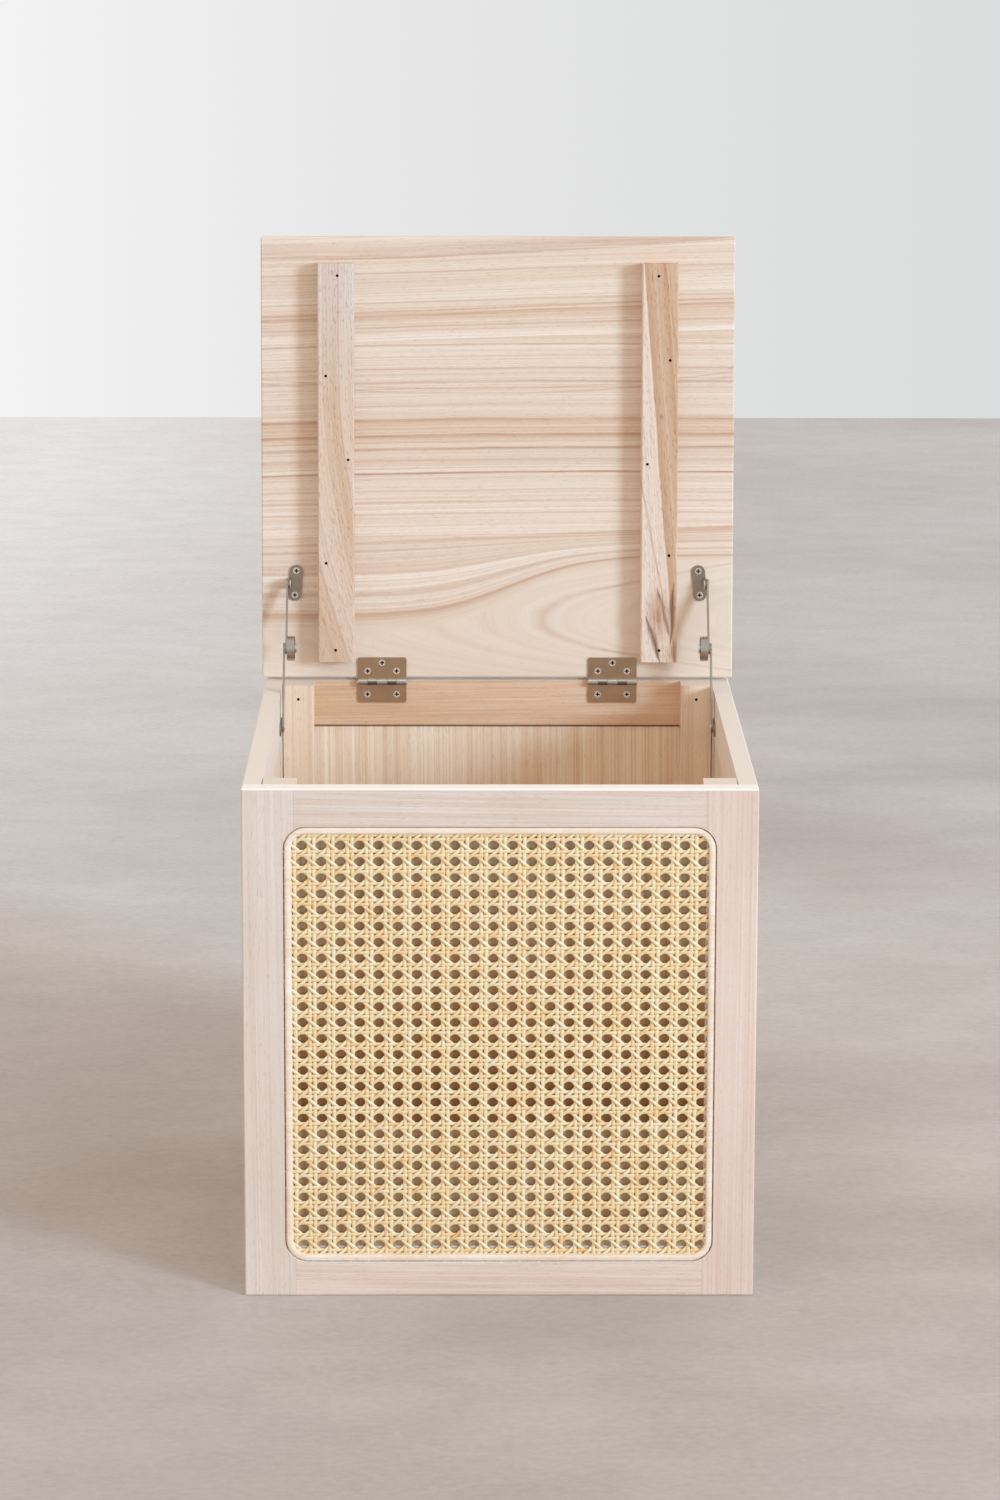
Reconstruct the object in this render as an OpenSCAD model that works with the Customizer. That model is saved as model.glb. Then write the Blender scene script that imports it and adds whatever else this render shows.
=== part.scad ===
// Rattan trunk: a framed storage box with cane windows and a lid that hinges at the back.
// Origin at floor level, under the middle of the box and its open lid together; +Z up, the front
// face towards -Y. All sizes in mm. The lid is drawn open, leaning back on its two folding stays.

/* [Body] */
// Width over the two side frames
body_w = 400; // [360:5:500]
// Depth over the front and back frames
body_d = 400; // [360:5:500]
// Height of the frames, without the lid
body_h = 410; // [340:5:500]
// Thickness of every frame
frame_t = 15; // [14:0.5:18]
// Flat eased edge on the outer corners of the body
arris = 1; // [0.4:0.1:2]

/* [Frame members] */
// Width of a stile, measured on the face
stile_w = 40; // [36:1:44]
// Height of a top or bottom rail
rail_h = 39; // [37:1:44]
// Depth of the groove that takes panel and tenon
groove_depth = 6; // [4:0.5:8]
// Thickness of the panel in each frame
panel_t = 4; // [3:0.5:5]
// Distance from the inner face of a frame to its panel
panel_setback = 2.2; // [1.5:0.1:3]
// Clearance of a panel or tenon in its groove
groove_play = 0.1; // [0.05:0.05:0.2]
// Length of plain wood left at the ends of a stile groove
groove_stop = 8; // [6:1:12]

/* [Cane windows] */
// Wood left between the side of a frame and its window
window_side = 32; // [28:1:34]
// Wood left above the window
window_top = 30; // [26:0.5:33]
// Wood left under the window
window_bottom = 27.5; // [24:0.5:33]
// Corner radius of the window
window_r = 18; // [10:1:30]
// Depth of the window recess in the face
window_depth = 5; // [4:0.5:6]
// Thickness of the woven cane
cane_t = 1; // [0.8:0.1:1.5]
// Columns of gaps in the front cane
cane_cols = 16; // [8:1:16]
// Rows of gaps in the front cane
cane_rows = 18; // [8:1:18]
// Share of the pitch that a gap takes
cane_open = 0.55; // [0.4:0.05:0.65]
// Width of the bead that holds the cane
bead_w = 5.3; // [4:0.1:8]
// How far the bead lies below the face
bead_sink = 0.3; // [0:0.1:1]
// Gap between the bead and the wall of the recess
bead_gap = 0.8; // [0.2:0.1:1]

/* [Corner posts and bottom] */
// Width of a corner post
post_w = 26; // [18:1:30]
// Depth of a corner post
post_d = 21; // [16:1:28]
// Gap between a post and the side frame
post_gap = 0.8; // [0.4:0.1:1.5]
// Thickness of the bottom panel
bottom_t = 6; // [4:0.5:10]
// Width and height of the cleats under the bottom panel
cleat = 12; // [8:1:16]
// Height of the cleats above the ground
cleat_lift = 4; // [2:1:10]
// Clearance round the bottom panel and cleats
bottom_play = 0.3; // [0.2:0.1:1]

/* [Lid] */
// Thickness of the lid planks
lid_t = 15; // [13:0.5:20]
// How far the lid overhangs the front and sides
lid_overhang = 3; // [0:0.5:8]
// Distance from the hinge axis to the rear edge of the lid
lid_rear = 4; // [4:0.5:8]
// First glue line, distance from the hinge axis at the left edge
seam_one_left = 118; // [60:1:140]
// First glue line, distance from the hinge axis at the right edge
seam_one_right = 137; // [60:1:150]
// Second glue line, distance from the hinge axis at the left edge
seam_two_left = 292; // [220:1:320]
// Second glue line, distance from the hinge axis at the right edge
seam_two_right = 306; // [220:1:320]
// Angle of the open lid from the closed position
lid_open = 93.5; // [90:0.5:100]
// Width of a batten under the lid
batten_w = 31; // [20:1:36]
// Thickness of a batten
batten_t = 18; // [10:1:22]
// Distance from the side of the body to the middle of a batten
batten_inset = 61.5; // [61:0.5:75]
// Distance from the hinge axis to the near end of a batten
batten_start = 20; // [20:1:40]
// Distance from the inner front face of the body to a closed batten
batten_end_gap = 4; // [3:1:20]

/* [Hinges] */
// Distance from the side of the body to the middle of a hinge
hinge_inset = 100.5; // [100:0.5:140]
// Length of a hinge along its pin
hinge_w = 42; // [30:1:44]
// Length of a lid leaf, from the pin to its edge
lid_leaf = 21.5; // [20:0.5:24]
// Length of a box leaf, from the pin to its edge
box_leaf = 18; // [15:0.5:22]
// Thickness of the leaves
leaf_t = 1.5; // [1.2:0.1:1.8]
// Corner radius of the leaves
leaf_r = 2; // [1:0.5:4]
// Outer radius of a knuckle
knuckle_r = 3; // [2.8:0.1:3.5]
// Radius of the hinge pin
pin_r = 1.5; // [1.2:0.1:1.6]
// How far the pin stands out of the outer knuckles
pin_proud = 0.8; // [0.4:0.1:1.5]
// Distance of the pin below the top of the box
hinge_drop = 1; // [0.5:0.1:1]
// Gap between a knuckle and the wood that it turns against
knuckle_gap = 0.3; // [0.3:0.05:0.5]

/* [Lid stays] */
// Distance from the hinge axis to the lower pivot, towards the front
stay_pivot_u = 55; // [50:0.5:60]
// Distance of the lower pivot below the hinge axis
stay_pivot_v = 26.5; // [22:0.5:30]
// Distance from the hinge axis to the lid pivot, along the lid
stay_lid_u = 86.5; // [80:0.5:92]
// Distance of the lid pivot below the line of the hinge axis
stay_lid_v = 5.8; // [5.6:0.1:6.2]
// Length of the lower arm between its pivots
lower_arm = 68; // [64:0.5:74]
// How far the middle pivot stands off the line between the other two with the lid open
stay_bow = 3; // [2:0.5:6]
// Width of the arms
arm_w = 8.4; // [7:0.2:9.4]
// How much wider than the arm its round eyes are, on each side
arm_eye = 0.6; // [0.4:0.1:1]
// Thickness of the arms
arm_t = 1.5; // [1.2:0.1:1.8]
// Thickness of the stay plates
plate_t = 1.4; // [1.2:0.1:1.8]
// Length of a stay plate
plate_l = 31; // [28:1:34]
// Width of a stay plate
plate_w = 11.4; // [10:0.2:13]
// Distance between the two screws of a stay plate
plate_screws = 21; // [20:0.5:22]
// Turn of the lid plate about its middle, in degrees
plate_turn = 4; // [0:1:5]
// Radius of the friction drum
drum_r = 10.5; // [8:0.5:12]
// Height of the friction drum
drum_t = 6.5; // [5:0.5:8]
// Radius of the pivot screw and rivets
pivot_r = 2.4; // [2:0.1:3]
// Width of the rim round the ring that is sunk in the drum
drum_rim = 1.2; // [0.8:0.1:2]
// Width of the collar between that ring and the pivot screw's head
drum_collar = 1; // [0.6:0.1:1.5]
// Depth of that ring
drum_ring = 0.8; // [0.5:0.1:1.2]
// Radius of the pivot screw's head
pivot_head_r = 4.2; // [3.8:0.1:4.6]
// Height of the pivot screw's head
pivot_head_t = 1.6; // [1.4:0.1:2]
// Width of the slot in that head
slot_w = 1.2; // [0.8:0.1:1.6]
// Depth of the slot
slot_depth = 0.9; // [0.6:0.1:1]
// Radius of a rivet head
rivet_head_r = 3.6; // [3.2:0.1:4]
// Height of a rivet head
rivet_head_t = 0.8; // [0.6:0.1:1]
// Width of the ear that is bent down from a lid plate
ear_w = 9; // [8:0.5:10]
// Gap between plates, arms and ears
stay_play = 0.3; // [0.25:0.05:0.4]

/* [Fasteners] */
// Radius of a screw head
screw_head_r = 2.9; // [2.6:0.1:3.2]
// Radius of a screw shank
screw_r = 1.5; // [1.2:0.1:1.7]
// Length of a screw in the wood
screw_l = 11; // [8:0.5:12]
// Length of a screw's cross recess
cross_l = 3.4; // [2.8:0.1:4]
// Width of the arms of the cross
cross_w = 0.7; // [0.5:0.1:1]
// Depth of the cross
cross_depth = 0.8; // [0.5:0.1:1.2]
// Spare depth of a screw hole under the screw
hole_spare = 0.5; // [0.3:0.1:1]
// Radius of a brad
brad_r = 0.7; // [0.5:0.1:0.9]
// Length of a batten brad
brad_l = 24; // [20:1:26]
// Length of a post brad
post_brad_l = 28; // [22:1:30]
// Height of the lowest post brad above the bottom panel
post_brad_low = 30; // [20:1:60]
// Distance of the highest post brad from the top of the box
post_brad_top = 12; // [10:1:30]
// How far a brad is sunk below the surface
brad_sink = 1; // [0.5:0.1:2]
// Clearance round screws and brads
hole_play = 0.1; // [0.05:0.05:0.2]
// Running clearance round pins, rivets and pivot screws
pin_play = 0.05; // [0.03:0.01:0.08]

/* [Hidden] */
$fn = 48;
// How far a cut runs past the surface, and two coaxial cylinders into each other
over = 1;
eps = 0.01;
pale = "#ecdccb";
cream = "#e9d7c2";
warm = "#ddc3a3";
straw = "#d9b26a";
steel = "#9c9389";

// Places across, from the middle of the body
batten_x = body_w / 2 - batten_inset;
hinge_x = body_w / 2 - hinge_inset;

// Hinge axis: a knuckle gap in front of the back frame, a little below the top of the box
hinge_off = knuckle_r + knuckle_gap;
hinge_z = body_h - hinge_drop;
// From the hinge axis to the front edge of the closed lid and to the front end of a batten
lid_front = body_d - frame_t - hinge_off + lid_overhang;
batten_stop = body_d - 2 * frame_t - hinge_off - batten_end_gap;
lid_half_w = body_w / 2 + lid_overhang;
// The leaves start far enough from the pin to clear the rail's top when the lid leans back
lid_lean = lid_open - 90;
leaf_start = (hinge_drop + knuckle_gap + hinge_off * sin(lid_lean)) / cos(lid_lean);

// The open lid reaches back past the box, so the box stands half that reach in front of the origin
open_back = lid_front * sin(lid_lean) + (hinge_off + lid_t) * cos(lid_lean) - hinge_off - frame_t;
mid_y = -open_back / 2;
front_y = mid_y - body_d / 2;
back_y = mid_y + body_d / 2;
hinge_y = back_y - frame_t - hinge_off;

// Depth of the panel and groove, measured from the outer face of a frame
panel_y = frame_t - panel_setback - panel_t;
tenon_h = rail_h - groove_stop - groove_depth - groove_play;
rail_z = body_h - rail_h;

// Layers of a stay, measured from the middle of the body outwards
side_in = body_w / 2 - frame_t;
lower_x = side_in - plate_t - stay_play - arm_t;
upper_x = lower_x - stay_play - arm_t;
drum_x = upper_x - drum_t;
ear_x = upper_x - stay_play - plate_t;

// Pivots in the side view: u runs from the hinge axis to the front, v runs up
p_low = [stay_pivot_u, -stay_pivot_v];
p_lid = [stay_lid_u * cos(lid_open) + stay_lid_v * sin(lid_open),
         stay_lid_u * sin(lid_open) - stay_lid_v * cos(lid_open)];
span = norm(p_lid - p_low);
unit = (p_lid - p_low) / span;
p_mid = p_low + sqrt(pow(lower_arm, 2) - pow(stay_bow, 2)) * unit + stay_bow * [unit[1], -unit[0]];

// Bottom panel and posts
floor_z = cleat_lift + cleat + bottom_t;
post_x = side_in - post_gap - post_w / 2;
post_y = body_d / 2 - frame_t - post_d / 2;
post_brad_z = [floor_z + post_brad_low, (floor_z + body_h) / 2, body_h - post_brad_top];

// Brads of a batten: across from its middle towards the lid's middle, and along as a share
brads_left = [[1.5, 0.97], [-8.5, 0.72], [10.5, 0.51], [-8.5, 0.25], [-0.5, 0.03]];
brads_right = [[1.5, 0.97], [-8.5, 0.76], [10.5, 0.5], [-8.5, 0.27], [-0.5, 0.03]];

// Knuckles of a hinge: the box leaf takes the outer two and the middle one
knuckle_count = 5;

// Screws of a hinge: across from its middle and along from the pin
lid_leaf_screws = [[0, 17], [-12.5, 9.8], [12.5, 9.8]];
box_leaf_screws = [[-12.6, 10.8], [12.6, 10.8]];

// Places a frame: its own x runs along the face, y from the outer face inwards, z up
module on_front() { translate([-body_w / 2, front_y, 0]) children(); }
module on_back() { translate([body_w / 2, back_y, 0]) rotate(180) children(); }
module on_left() { translate([-body_w / 2, back_y, 0]) rotate(-90) children(); }
module on_right() { translate([body_w / 2, front_y, 0]) rotate(90) children(); }

// Extrudes a shape that is drawn in x and z of a frame, from depth y0 to depth y1
module upright(y0, y1) { translate([0, y1, 0]) rotate([90, 0, 0]) linear_extrude(y1 - y0) children(); }

// The lid's own axes: x along the pin, -y along the closed lid, z up from the pin
module on_lid() { translate([0, hinge_y, hinge_z]) rotate([-lid_open, 0, 0]) children(); }

// Side view plane at distance x from the middle: draws u and v, thickness grows outwards
module on_stay(x) { translate([-x, hinge_y, hinge_z]) rotate([90, 0, -90]) children(); }
module on_lid_stay(x) { on_lid() translate([-x, 0, 0]) rotate([90, 0, -90]) children(); }

// Rectangle with true round corners, from corner a to corner b
module round_rect(a, b, r) {
    translate([a[0] + r, a[1]]) square([b[0] - a[0] - 2 * r, b[1] - a[1]]);
    translate([a[0], a[1] + r]) square([b[0] - a[0], b[1] - a[1] - 2 * r]);
    for (x = [a[0] + r, b[0] - r], y = [a[1] + r, b[1] - r]) translate([x, y]) circle(r);
}

// Window outline of a frame that is w wide, drawn smaller by the clearance c
module window(w, c = 0) {
    high = body_h - window_top;
    round_rect([window_side + c, window_bottom + c], [w - window_side - c, high - c], window_r - c);
}

// Body block with eased outer edges, which every frame member is cut from
module eased_block() {
    w = body_w;
    d = body_d;
    translate([0, mid_y, 0]) intersection() {
        linear_extrude(body_h) eased_rect(w, d);
        translate([0, d / 2, body_h / 2]) rotate([90, 0, 0]) linear_extrude(d) eased_rect(w, body_h);
        translate([-w / 2, 0, body_h / 2]) rotate([90, 0, 90]) linear_extrude(w) eased_rect(d, body_h);
    }
}
module eased_rect(w, d) {
    x = w / 2;
    y = d / 2;
    c = arris;
    polygon([[x - c, -y], [x, c - y], [x, y - c], [x - c, y],
             [c - x, y], [-x, y - c], [-x, c - y], [c - x, -y]]);
}

// Stile at the left end of a frame; inset is where it meets the next frame
module stile(w, inset, windowed) {
    difference() {
        translate([inset, 0, 0]) cube([stile_w - inset, frame_t, body_h]);
        translate([stile_w - groove_depth, panel_y - groove_play, groove_stop])
            cube([groove_depth + over, panel_t + 2 * groove_play, body_h - 2 * groove_stop]);
        if (windowed) upright(-over, window_depth) window(w);
    }
}
module far_stile(w, inset, windowed) { translate([w, 0, 0]) mirror([1, 0, 0]) stile(w, inset, windowed); }

// Rail at height z with its panel groove above or below, and a stub tenon at each end
module rail(w, z, top, windowed) {
    groove_z = top ? z - over : z + rail_h - groove_depth;
    tenon_z = top ? z + groove_depth + groove_play : z + groove_stop;
    difference() {
        union() {
            translate([stile_w, 0, z]) cube([w - 2 * stile_w, frame_t, rail_h]);
            translate([stile_w - groove_depth + 2 * groove_play, panel_y, tenon_z])
                cube([w - 2 * stile_w + 2 * groove_depth - 4 * groove_play, panel_t, tenon_h]);
        }
        translate([stile_w - over, panel_y - groove_play, groove_z])
            cube([w - 2 * stile_w + 2 * over, panel_t + 2 * groove_play, groove_depth + over]);
        if (windowed) upright(-over, window_depth) window(w);
    }
}
module top_rail(w, windowed) { rail(w, rail_z, true, windowed); }
module bottom_rail(w, windowed) { rail(w, 0, false, windowed); }

// Panel in the grooves of a frame
module frame_panel(w) {
    reach = groove_depth - 2 * groove_play;
    translate([stile_w - reach, panel_y, rail_h - reach])
        cube([w - 2 * stile_w + 2 * reach, panel_t, body_h - 2 * rail_h + 2 * reach]);
}

// Cane sheet on the ledge of the window; a sheet with columns and rows is an open net
module cane(w, cols, rows) {
    x0 = window_side + bead_gap + bead_w;
    x1 = w - x0;
    z0 = window_bottom + bead_gap + bead_w;
    z1 = body_h - window_top - bead_gap - bead_w;
    px = (x1 - x0) / max(cols, 1);
    pz = (z1 - z0) / max(rows, 1);
    upright(window_depth - cane_t, window_depth) difference() {
        window(w, bead_gap / 2);
        if (cols > 0) for (i = [0:cols - 1], j = [0:rows - 1])
            if (corner_clear(x0 + px * (i + 0.5), z0 + pz * (j + 0.5), w))
                translate([x0 + px * (i + 0.5), z0 + pz * (j + 0.5)])
                    scale(cane_open * min(px, pz)) circle(r = 0.5, $fn = 6);
    }
}
// True where a gap lies inside the round corners of the bead
function corner_clear(x, z, w) =
    let (r = window_r - bead_gap - bead_w,
         dx = max(0, abs(x - w / 2) - (w / 2 - window_side - window_r)),
         dz = max(0, abs(z - window_bottom - (body_h - window_top - window_bottom) / 2)
                  - ((body_h - window_top - window_bottom) / 2 - window_r)))
    norm([dx, dz]) < r;

// Bead round the window, over the edge of the cane
module bead(w) {
    upright(bead_sink, window_depth - cane_t) difference() {
        window(w, bead_gap);
        window(w, bead_gap + bead_w);
    }
}

// Corner post, drawn at the left front corner
module post() {
    c = arris;
    x = post_w / 2;
    y = post_d / 2;
    translate([0, 0, floor_z]) linear_extrude(body_h - floor_z)
        polygon([[-x, -y], [x, -y], [x, y - c], [x - c, y], [-x, y]]);
}

// Hole for a brad at each height, from the inner face of a post into the frame behind it
module post_holes(r, grow) {
    for (z = post_brad_z) translate([0, post_d / 2 + grow, z]) rotate([90, 0, 0])
        cylinder(h = post_brad_l + brad_sink + grow, r = r);
}
module at_post(sx, sy) {
    translate([sx * post_x, mid_y + sy * post_y, 0])
        mirror([sx > 0 ? 1 : 0, 0, 0]) mirror([0, sy > 0 ? 1 : 0, 0]) children();
}
module at_posts() { for (sx = [-1, 1], sy = [-1, 1]) at_post(sx, sy) children(); }
module post_drills() { at_posts() post_holes(brad_r + hole_play, over); }

// Screw with a countersunk head at z = 0 and its shank down, and the hole that it needs
module screw() {
    difference() {
        union() {
            translate([0, 0, -leaf_t]) cylinder(h = leaf_t, r1 = screw_r, r2 = screw_head_r);
            translate([0, 0, -leaf_t - screw_l]) cylinder(h = screw_l + eps, r = screw_r);
        }
        for (a = [0, 90]) rotate(a) translate([-cross_l / 2, -cross_w / 2, -cross_depth])
            cube([cross_l, cross_w, cross_depth + over]);
    }
}
module screw_hole() {
    translate([0, 0, -leaf_t - screw_l - hole_spare])
        cylinder(h = screw_l + 2 * hole_spare, r = screw_r + hole_play);
}
module countersink() {
    translate([0, 0, -leaf_t - over]) cylinder(h = leaf_t + 2 * over, r = screw_r + hole_play);
    translate([0, 0, -leaf_t]) cylinder(h = leaf_t, r1 = screw_r + hole_play, r2 = screw_head_r + hole_play);
    translate([0, 0, -eps]) cylinder(h = over, r = screw_head_r + hole_play);
}

// Places of the screws: in the lid leaf, the box leaf, the side plate and the lid plate
module at_lid_leaf_screws(side) {
    on_lid() translate([side * hinge_x, 0, hinge_off - leaf_t])
        for (p = lid_leaf_screws) translate([p[0], -p[1], 0]) rotate([180, 0, 0]) children();
}
module at_box_leaf_screws(side) {
    translate([side * hinge_x, hinge_y + hinge_off - leaf_t, hinge_z])
        for (p = box_leaf_screws) translate([p[0], 0, -p[1]]) rotate([90, 0, 0]) children();
}
module at_side_plate_screws() {
    on_stay(side_in - plate_t) translate([p_low[0], p_low[1], 0])
        for (s = [-1, 1]) translate([s * plate_screws / 2, 0, 0]) rotate([180, 0, 0]) children();
}
module lid_plate_place() {
    x = ear_x + plate_t - plate_w / 2;
    on_lid() translate([-x, -stay_lid_u, hinge_off - plate_t]) rotate(plate_turn) children();
}
module at_lid_plate_screws() {
    lid_plate_place() for (s = [-1, 1])
        translate([0, s * plate_screws / 2, 0]) rotate([180, 0, 0]) children();
}
module both() { children(); mirror([1, 0, 0]) children(); }

module rail_drills() { for (s = [-1, 1]) at_box_leaf_screws(s) screw_hole(); }
module side_drills() { both() at_side_plate_screws() screw_hole(); }
module lid_drills() {
    for (s = [-1, 1]) at_lid_leaf_screws(s) screw_hole();
    both() at_lid_plate_screws() screw_hole();
    at_batten_brads() cylinder(h = 2 * batten_t, r = brad_r + hole_play, center = true);
}

// Lid plank between two lines across the lid, each given at its left and right end
module plank(near, far) {
    x = lid_half_w;
    difference() {
        intersection() {
            on_lid() translate([0, 0, hinge_off]) linear_extrude(lid_t)
                polygon([[-x, -near[0]], [x, -near[1]], [x, -far[1]], [-x, -far[0]]]);
            eased_lid();
        }
        lid_drills();
    }
}
module eased_lid() {
    l = lid_front - lid_rear;
    w = 2 * lid_half_w;
    on_lid() translate([0, -(lid_front + lid_rear) / 2, hinge_off + lid_t / 2]) intersection() {
        translate([0, 0, -lid_t / 2]) linear_extrude(lid_t) eased_rect(w, l);
        translate([0, l / 2, 0]) rotate([90, 0, 0]) linear_extrude(l) eased_rect(w, lid_t);
        translate([-w / 2, 0, 0]) rotate([90, 0, 90]) linear_extrude(w) eased_rect(l, lid_t);
    }
}

// Batten on the underside of the lid, with eased lower edges
module batten(side) {
    x = batten_w / 2;
    c = arris;
    difference() {
        on_lid() translate([side * batten_x, -batten_start, hinge_off]) rotate([90, 0, 0])
            linear_extrude(batten_stop - batten_start)
                polygon([[-x, 0], [-x, c - batten_t], [c - x, -batten_t],
                         [x - c, -batten_t], [x, c - batten_t], [x, 0]]);
        at_batten_brads() cylinder(h = 2 * batten_t, r = brad_r + hole_play, center = true);
    }
}
// Axes of the brads, each with its origin at the brad's middle
module at_batten_brads() {
    mid = hinge_off - batten_t + brad_sink + brad_l / 2;
    run = batten_stop - batten_start;
    for (p = brads_left) on_lid() translate([p[0] - batten_x, -batten_start - p[1] * run, mid]) children();
    for (p = brads_right) on_lid() translate([batten_x - p[0], -batten_start - p[1] * run, mid]) children();
}

// Knuckles of one leaf, every second one from the given one on, and the room for the other leaf's
module knuckles(first) {
    pitch = hinge_w / knuckle_count;
    for (i = [first:2:knuckle_count - 1]) translate([-hinge_w / 2 + i * pitch + stay_play / 2, 0, 0])
        rotate([0, 90, 0]) cylinder(h = pitch - stay_play, r = knuckle_r);
}
module knuckle_room(first) {
    pitch = hinge_w / knuckle_count;
    for (i = [first:2:knuckle_count - 1]) translate([-hinge_w / 2 + i * pitch - stay_play / 2, 0, 0])
        rotate([0, 90, 0]) cylinder(h = pitch + stay_play, r = knuckle_r + knuckle_gap);
}
module pin_bore() {
    translate([-hinge_w, 0, 0]) rotate([0, 90, 0]) cylinder(h = 2 * hinge_w, r = pin_r + pin_play);
}

// Leaf that lies in the plane z = hinge_off and runs from the pin along -y
module leaf(length, first, screws) {
    difference() {
        union() {
            knuckles(first);
            difference() {
                translate([0, 0, hinge_off - leaf_t]) linear_extrude(leaf_t) union() {
                    round_rect([-hinge_w / 2, -length], [hinge_w / 2, -leaf_start], leaf_r);
                    translate([-hinge_w / 2, -length / 2]) square([hinge_w, length / 2 - leaf_start]);
                }
                knuckle_room(first == 0 ? 1 : 0);
            }
        }
        pin_bore();
        for (p = screws) translate([p[0], -p[1], hinge_off - leaf_t]) rotate([180, 0, 0]) countersink();
    }
}
module box_leaf_piece(side) {
    translate([side * hinge_x, hinge_y, hinge_z]) rotate([90, 0, 0]) mirror([0, 0, 1])
        leaf(box_leaf, 0, box_leaf_screws);
}
module lid_leaf_piece(side) {
    on_lid() translate([side * hinge_x, 0, 0]) leaf(lid_leaf, 1, lid_leaf_screws);
}
module hinge_pin(side) {
    l = hinge_w + 2 * pin_proud;
    translate([side * hinge_x - l / 2, hinge_y, hinge_z]) rotate([0, 90, 0]) cylinder(h = l, r = pin_r);
}

// Flat bar from a to b with round ends, which stand out by the eye on each side; and a bar's hole
module bar(a, b, w, eye = 0) {
    d = b - a;
    translate(a) circle(w / 2 + eye);
    translate(b) circle(w / 2 + eye);
    translate(a) rotate(atan2(d[1], d[0])) translate([0, -w / 2]) square([norm(d), w]);
}
module pivot_hole(p) { translate(p) circle(pivot_r + pin_play); }

// Stay plate on the side frame
module side_plate() {
    half = plate_l / 2 - plate_w / 2;
    difference() {
        on_stay(side_in - plate_t) linear_extrude(plate_t) difference() {
            bar(p_low - [half, 0], p_low + [half, 0], plate_w);
            pivot_hole(p_low);
        }
        at_side_plate_screws() countersink();
    }
}
// Rivet that the lower arm turns on: its head lies on the arm, its shank ends in the plate
module side_rivet() {
    on_stay(lower_x - stay_play / 2 - rivet_head_t / 2) translate([p_low[0], p_low[1], 0]) {
        cylinder(h = rivet_head_t / 2 + stay_play / 2 - pin_play, r = rivet_head_r);
        cylinder(h = side_in - lower_x + stay_play / 2 + rivet_head_t / 2 - hole_play, r = pivot_r);
    }
}
module lower_arm_piece() {
    on_stay(lower_x) linear_extrude(arm_t) difference() {
        bar(p_low, p_mid, arm_w, arm_eye);
        pivot_hole(p_low);
        pivot_hole(p_mid);
    }
}
// Upper arm with a blind end at the lid: that pivot of the closed linkage is left open
module upper_arm_piece() {
    on_stay(upper_x) linear_extrude(arm_t) difference() {
        bar(p_mid, p_lid, arm_w, arm_eye);
        pivot_hole(p_mid);
    }
}
module drum() {
    on_stay(drum_x) translate([p_mid[0], p_mid[1], 0]) difference() {
        cylinder(h = drum_t, r = drum_r);
        translate([0, 0, -over]) cylinder(h = drum_t + 2 * over, r = pivot_r + pin_play);
        translate([0, 0, -eps]) difference() {
            cylinder(h = drum_ring, r = drum_r - drum_rim);
            translate([0, 0, -over]) cylinder(h = drum_ring + 2 * over, r = pivot_head_r + drum_collar);
        }
    }
}
// Slotted pivot screw through drum and arms
module pivot_screw() {
    on_stay(drum_x - pivot_head_t - pin_play) translate([p_mid[0], p_mid[1], 0]) difference() {
        union() {
            cylinder(h = pivot_head_t, r = pivot_head_r);
            cylinder(h = lower_x + arm_t - drum_x + pivot_head_t + pin_play, r = pivot_r);
        }
        translate([-pivot_head_r - over, -slot_w / 2, -over])
            cube([2 * (pivot_head_r + over), slot_w, slot_depth + over]);
    }
}
// Stay plate on the lid, with an ear bent down beside the upper arm
module lid_plate() {
    half = plate_l / 2 - plate_w / 2;
    difference() {
        union() {
            lid_plate_place() linear_extrude(plate_t) bar([0, -half], [0, half], plate_w);
            on_lid_stay(ear_x) linear_extrude(plate_t) {
                translate([stay_lid_u, -stay_lid_v]) circle(ear_w / 2);
                translate([stay_lid_u - ear_w / 2, -stay_lid_v]) square([ear_w, stay_lid_v + hinge_off]);
            }
        }
        at_lid_plate_screws() countersink();
        on_lid_stay(ear_x - over) translate([stay_lid_u, -stay_lid_v, 0])
            cylinder(h = plate_t + 2 * over, r = pivot_r + pin_play);
    }
}
// Rivet in the ear: its head is on the inner side and its shank ends flush with the ear
module lid_rivet() {
    on_lid_stay(ear_x - rivet_head_t) translate([stay_lid_u, -stay_lid_v, 0]) {
        cylinder(h = rivet_head_t, r = rivet_head_r);
        cylinder(h = rivet_head_t + plate_t, r = pivot_r);
    }
}

// Frame members, cut from the body block
module front_wood() { intersection() { on_front() children(); eased_block(); } }
module back_wood() { intersection() { on_back() children(); eased_block(); } }
module left_wood() { intersection() { on_left() children(); eased_block(); } }
module right_wood() { intersection() { on_right() children(); eased_block(); } }

// Sub-parts
module front_left_stile() {
    color(pale) difference() { front_wood() stile(body_w, 0, true); post_drills(); }
}
module front_right_stile() {
    color(pale) difference() { front_wood() far_stile(body_w, 0, true); post_drills(); }
}
module front_top_rail() { color(pale) front_wood() top_rail(body_w, true); }
module front_bottom_rail() { color(pale) front_wood() bottom_rail(body_w, true); }
module back_left_stile() {
    color(pale) difference() { back_wood() far_stile(body_w, 0, false); post_drills(); }
}
module back_right_stile() {
    color(pale) difference() { back_wood() stile(body_w, 0, false); post_drills(); }
}
module back_top_rail() { color(warm) difference() { back_wood() top_rail(body_w, false); rail_drills(); } }
module back_bottom_rail() { color(warm) back_wood() bottom_rail(body_w, false); }
module left_front_stile() { color(pale) left_wood() far_stile(body_d, frame_t, true); }
module left_back_stile() { color(pale) left_wood() stile(body_d, frame_t, true); }
module left_top_rail() { color(pale) difference() { left_wood() top_rail(body_d, true); side_drills(); } }
module left_bottom_rail() { color(pale) left_wood() bottom_rail(body_d, true); }
module right_front_stile() { color(pale) right_wood() stile(body_d, frame_t, true); }
module right_back_stile() { color(pale) right_wood() far_stile(body_d, frame_t, true); }
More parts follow.
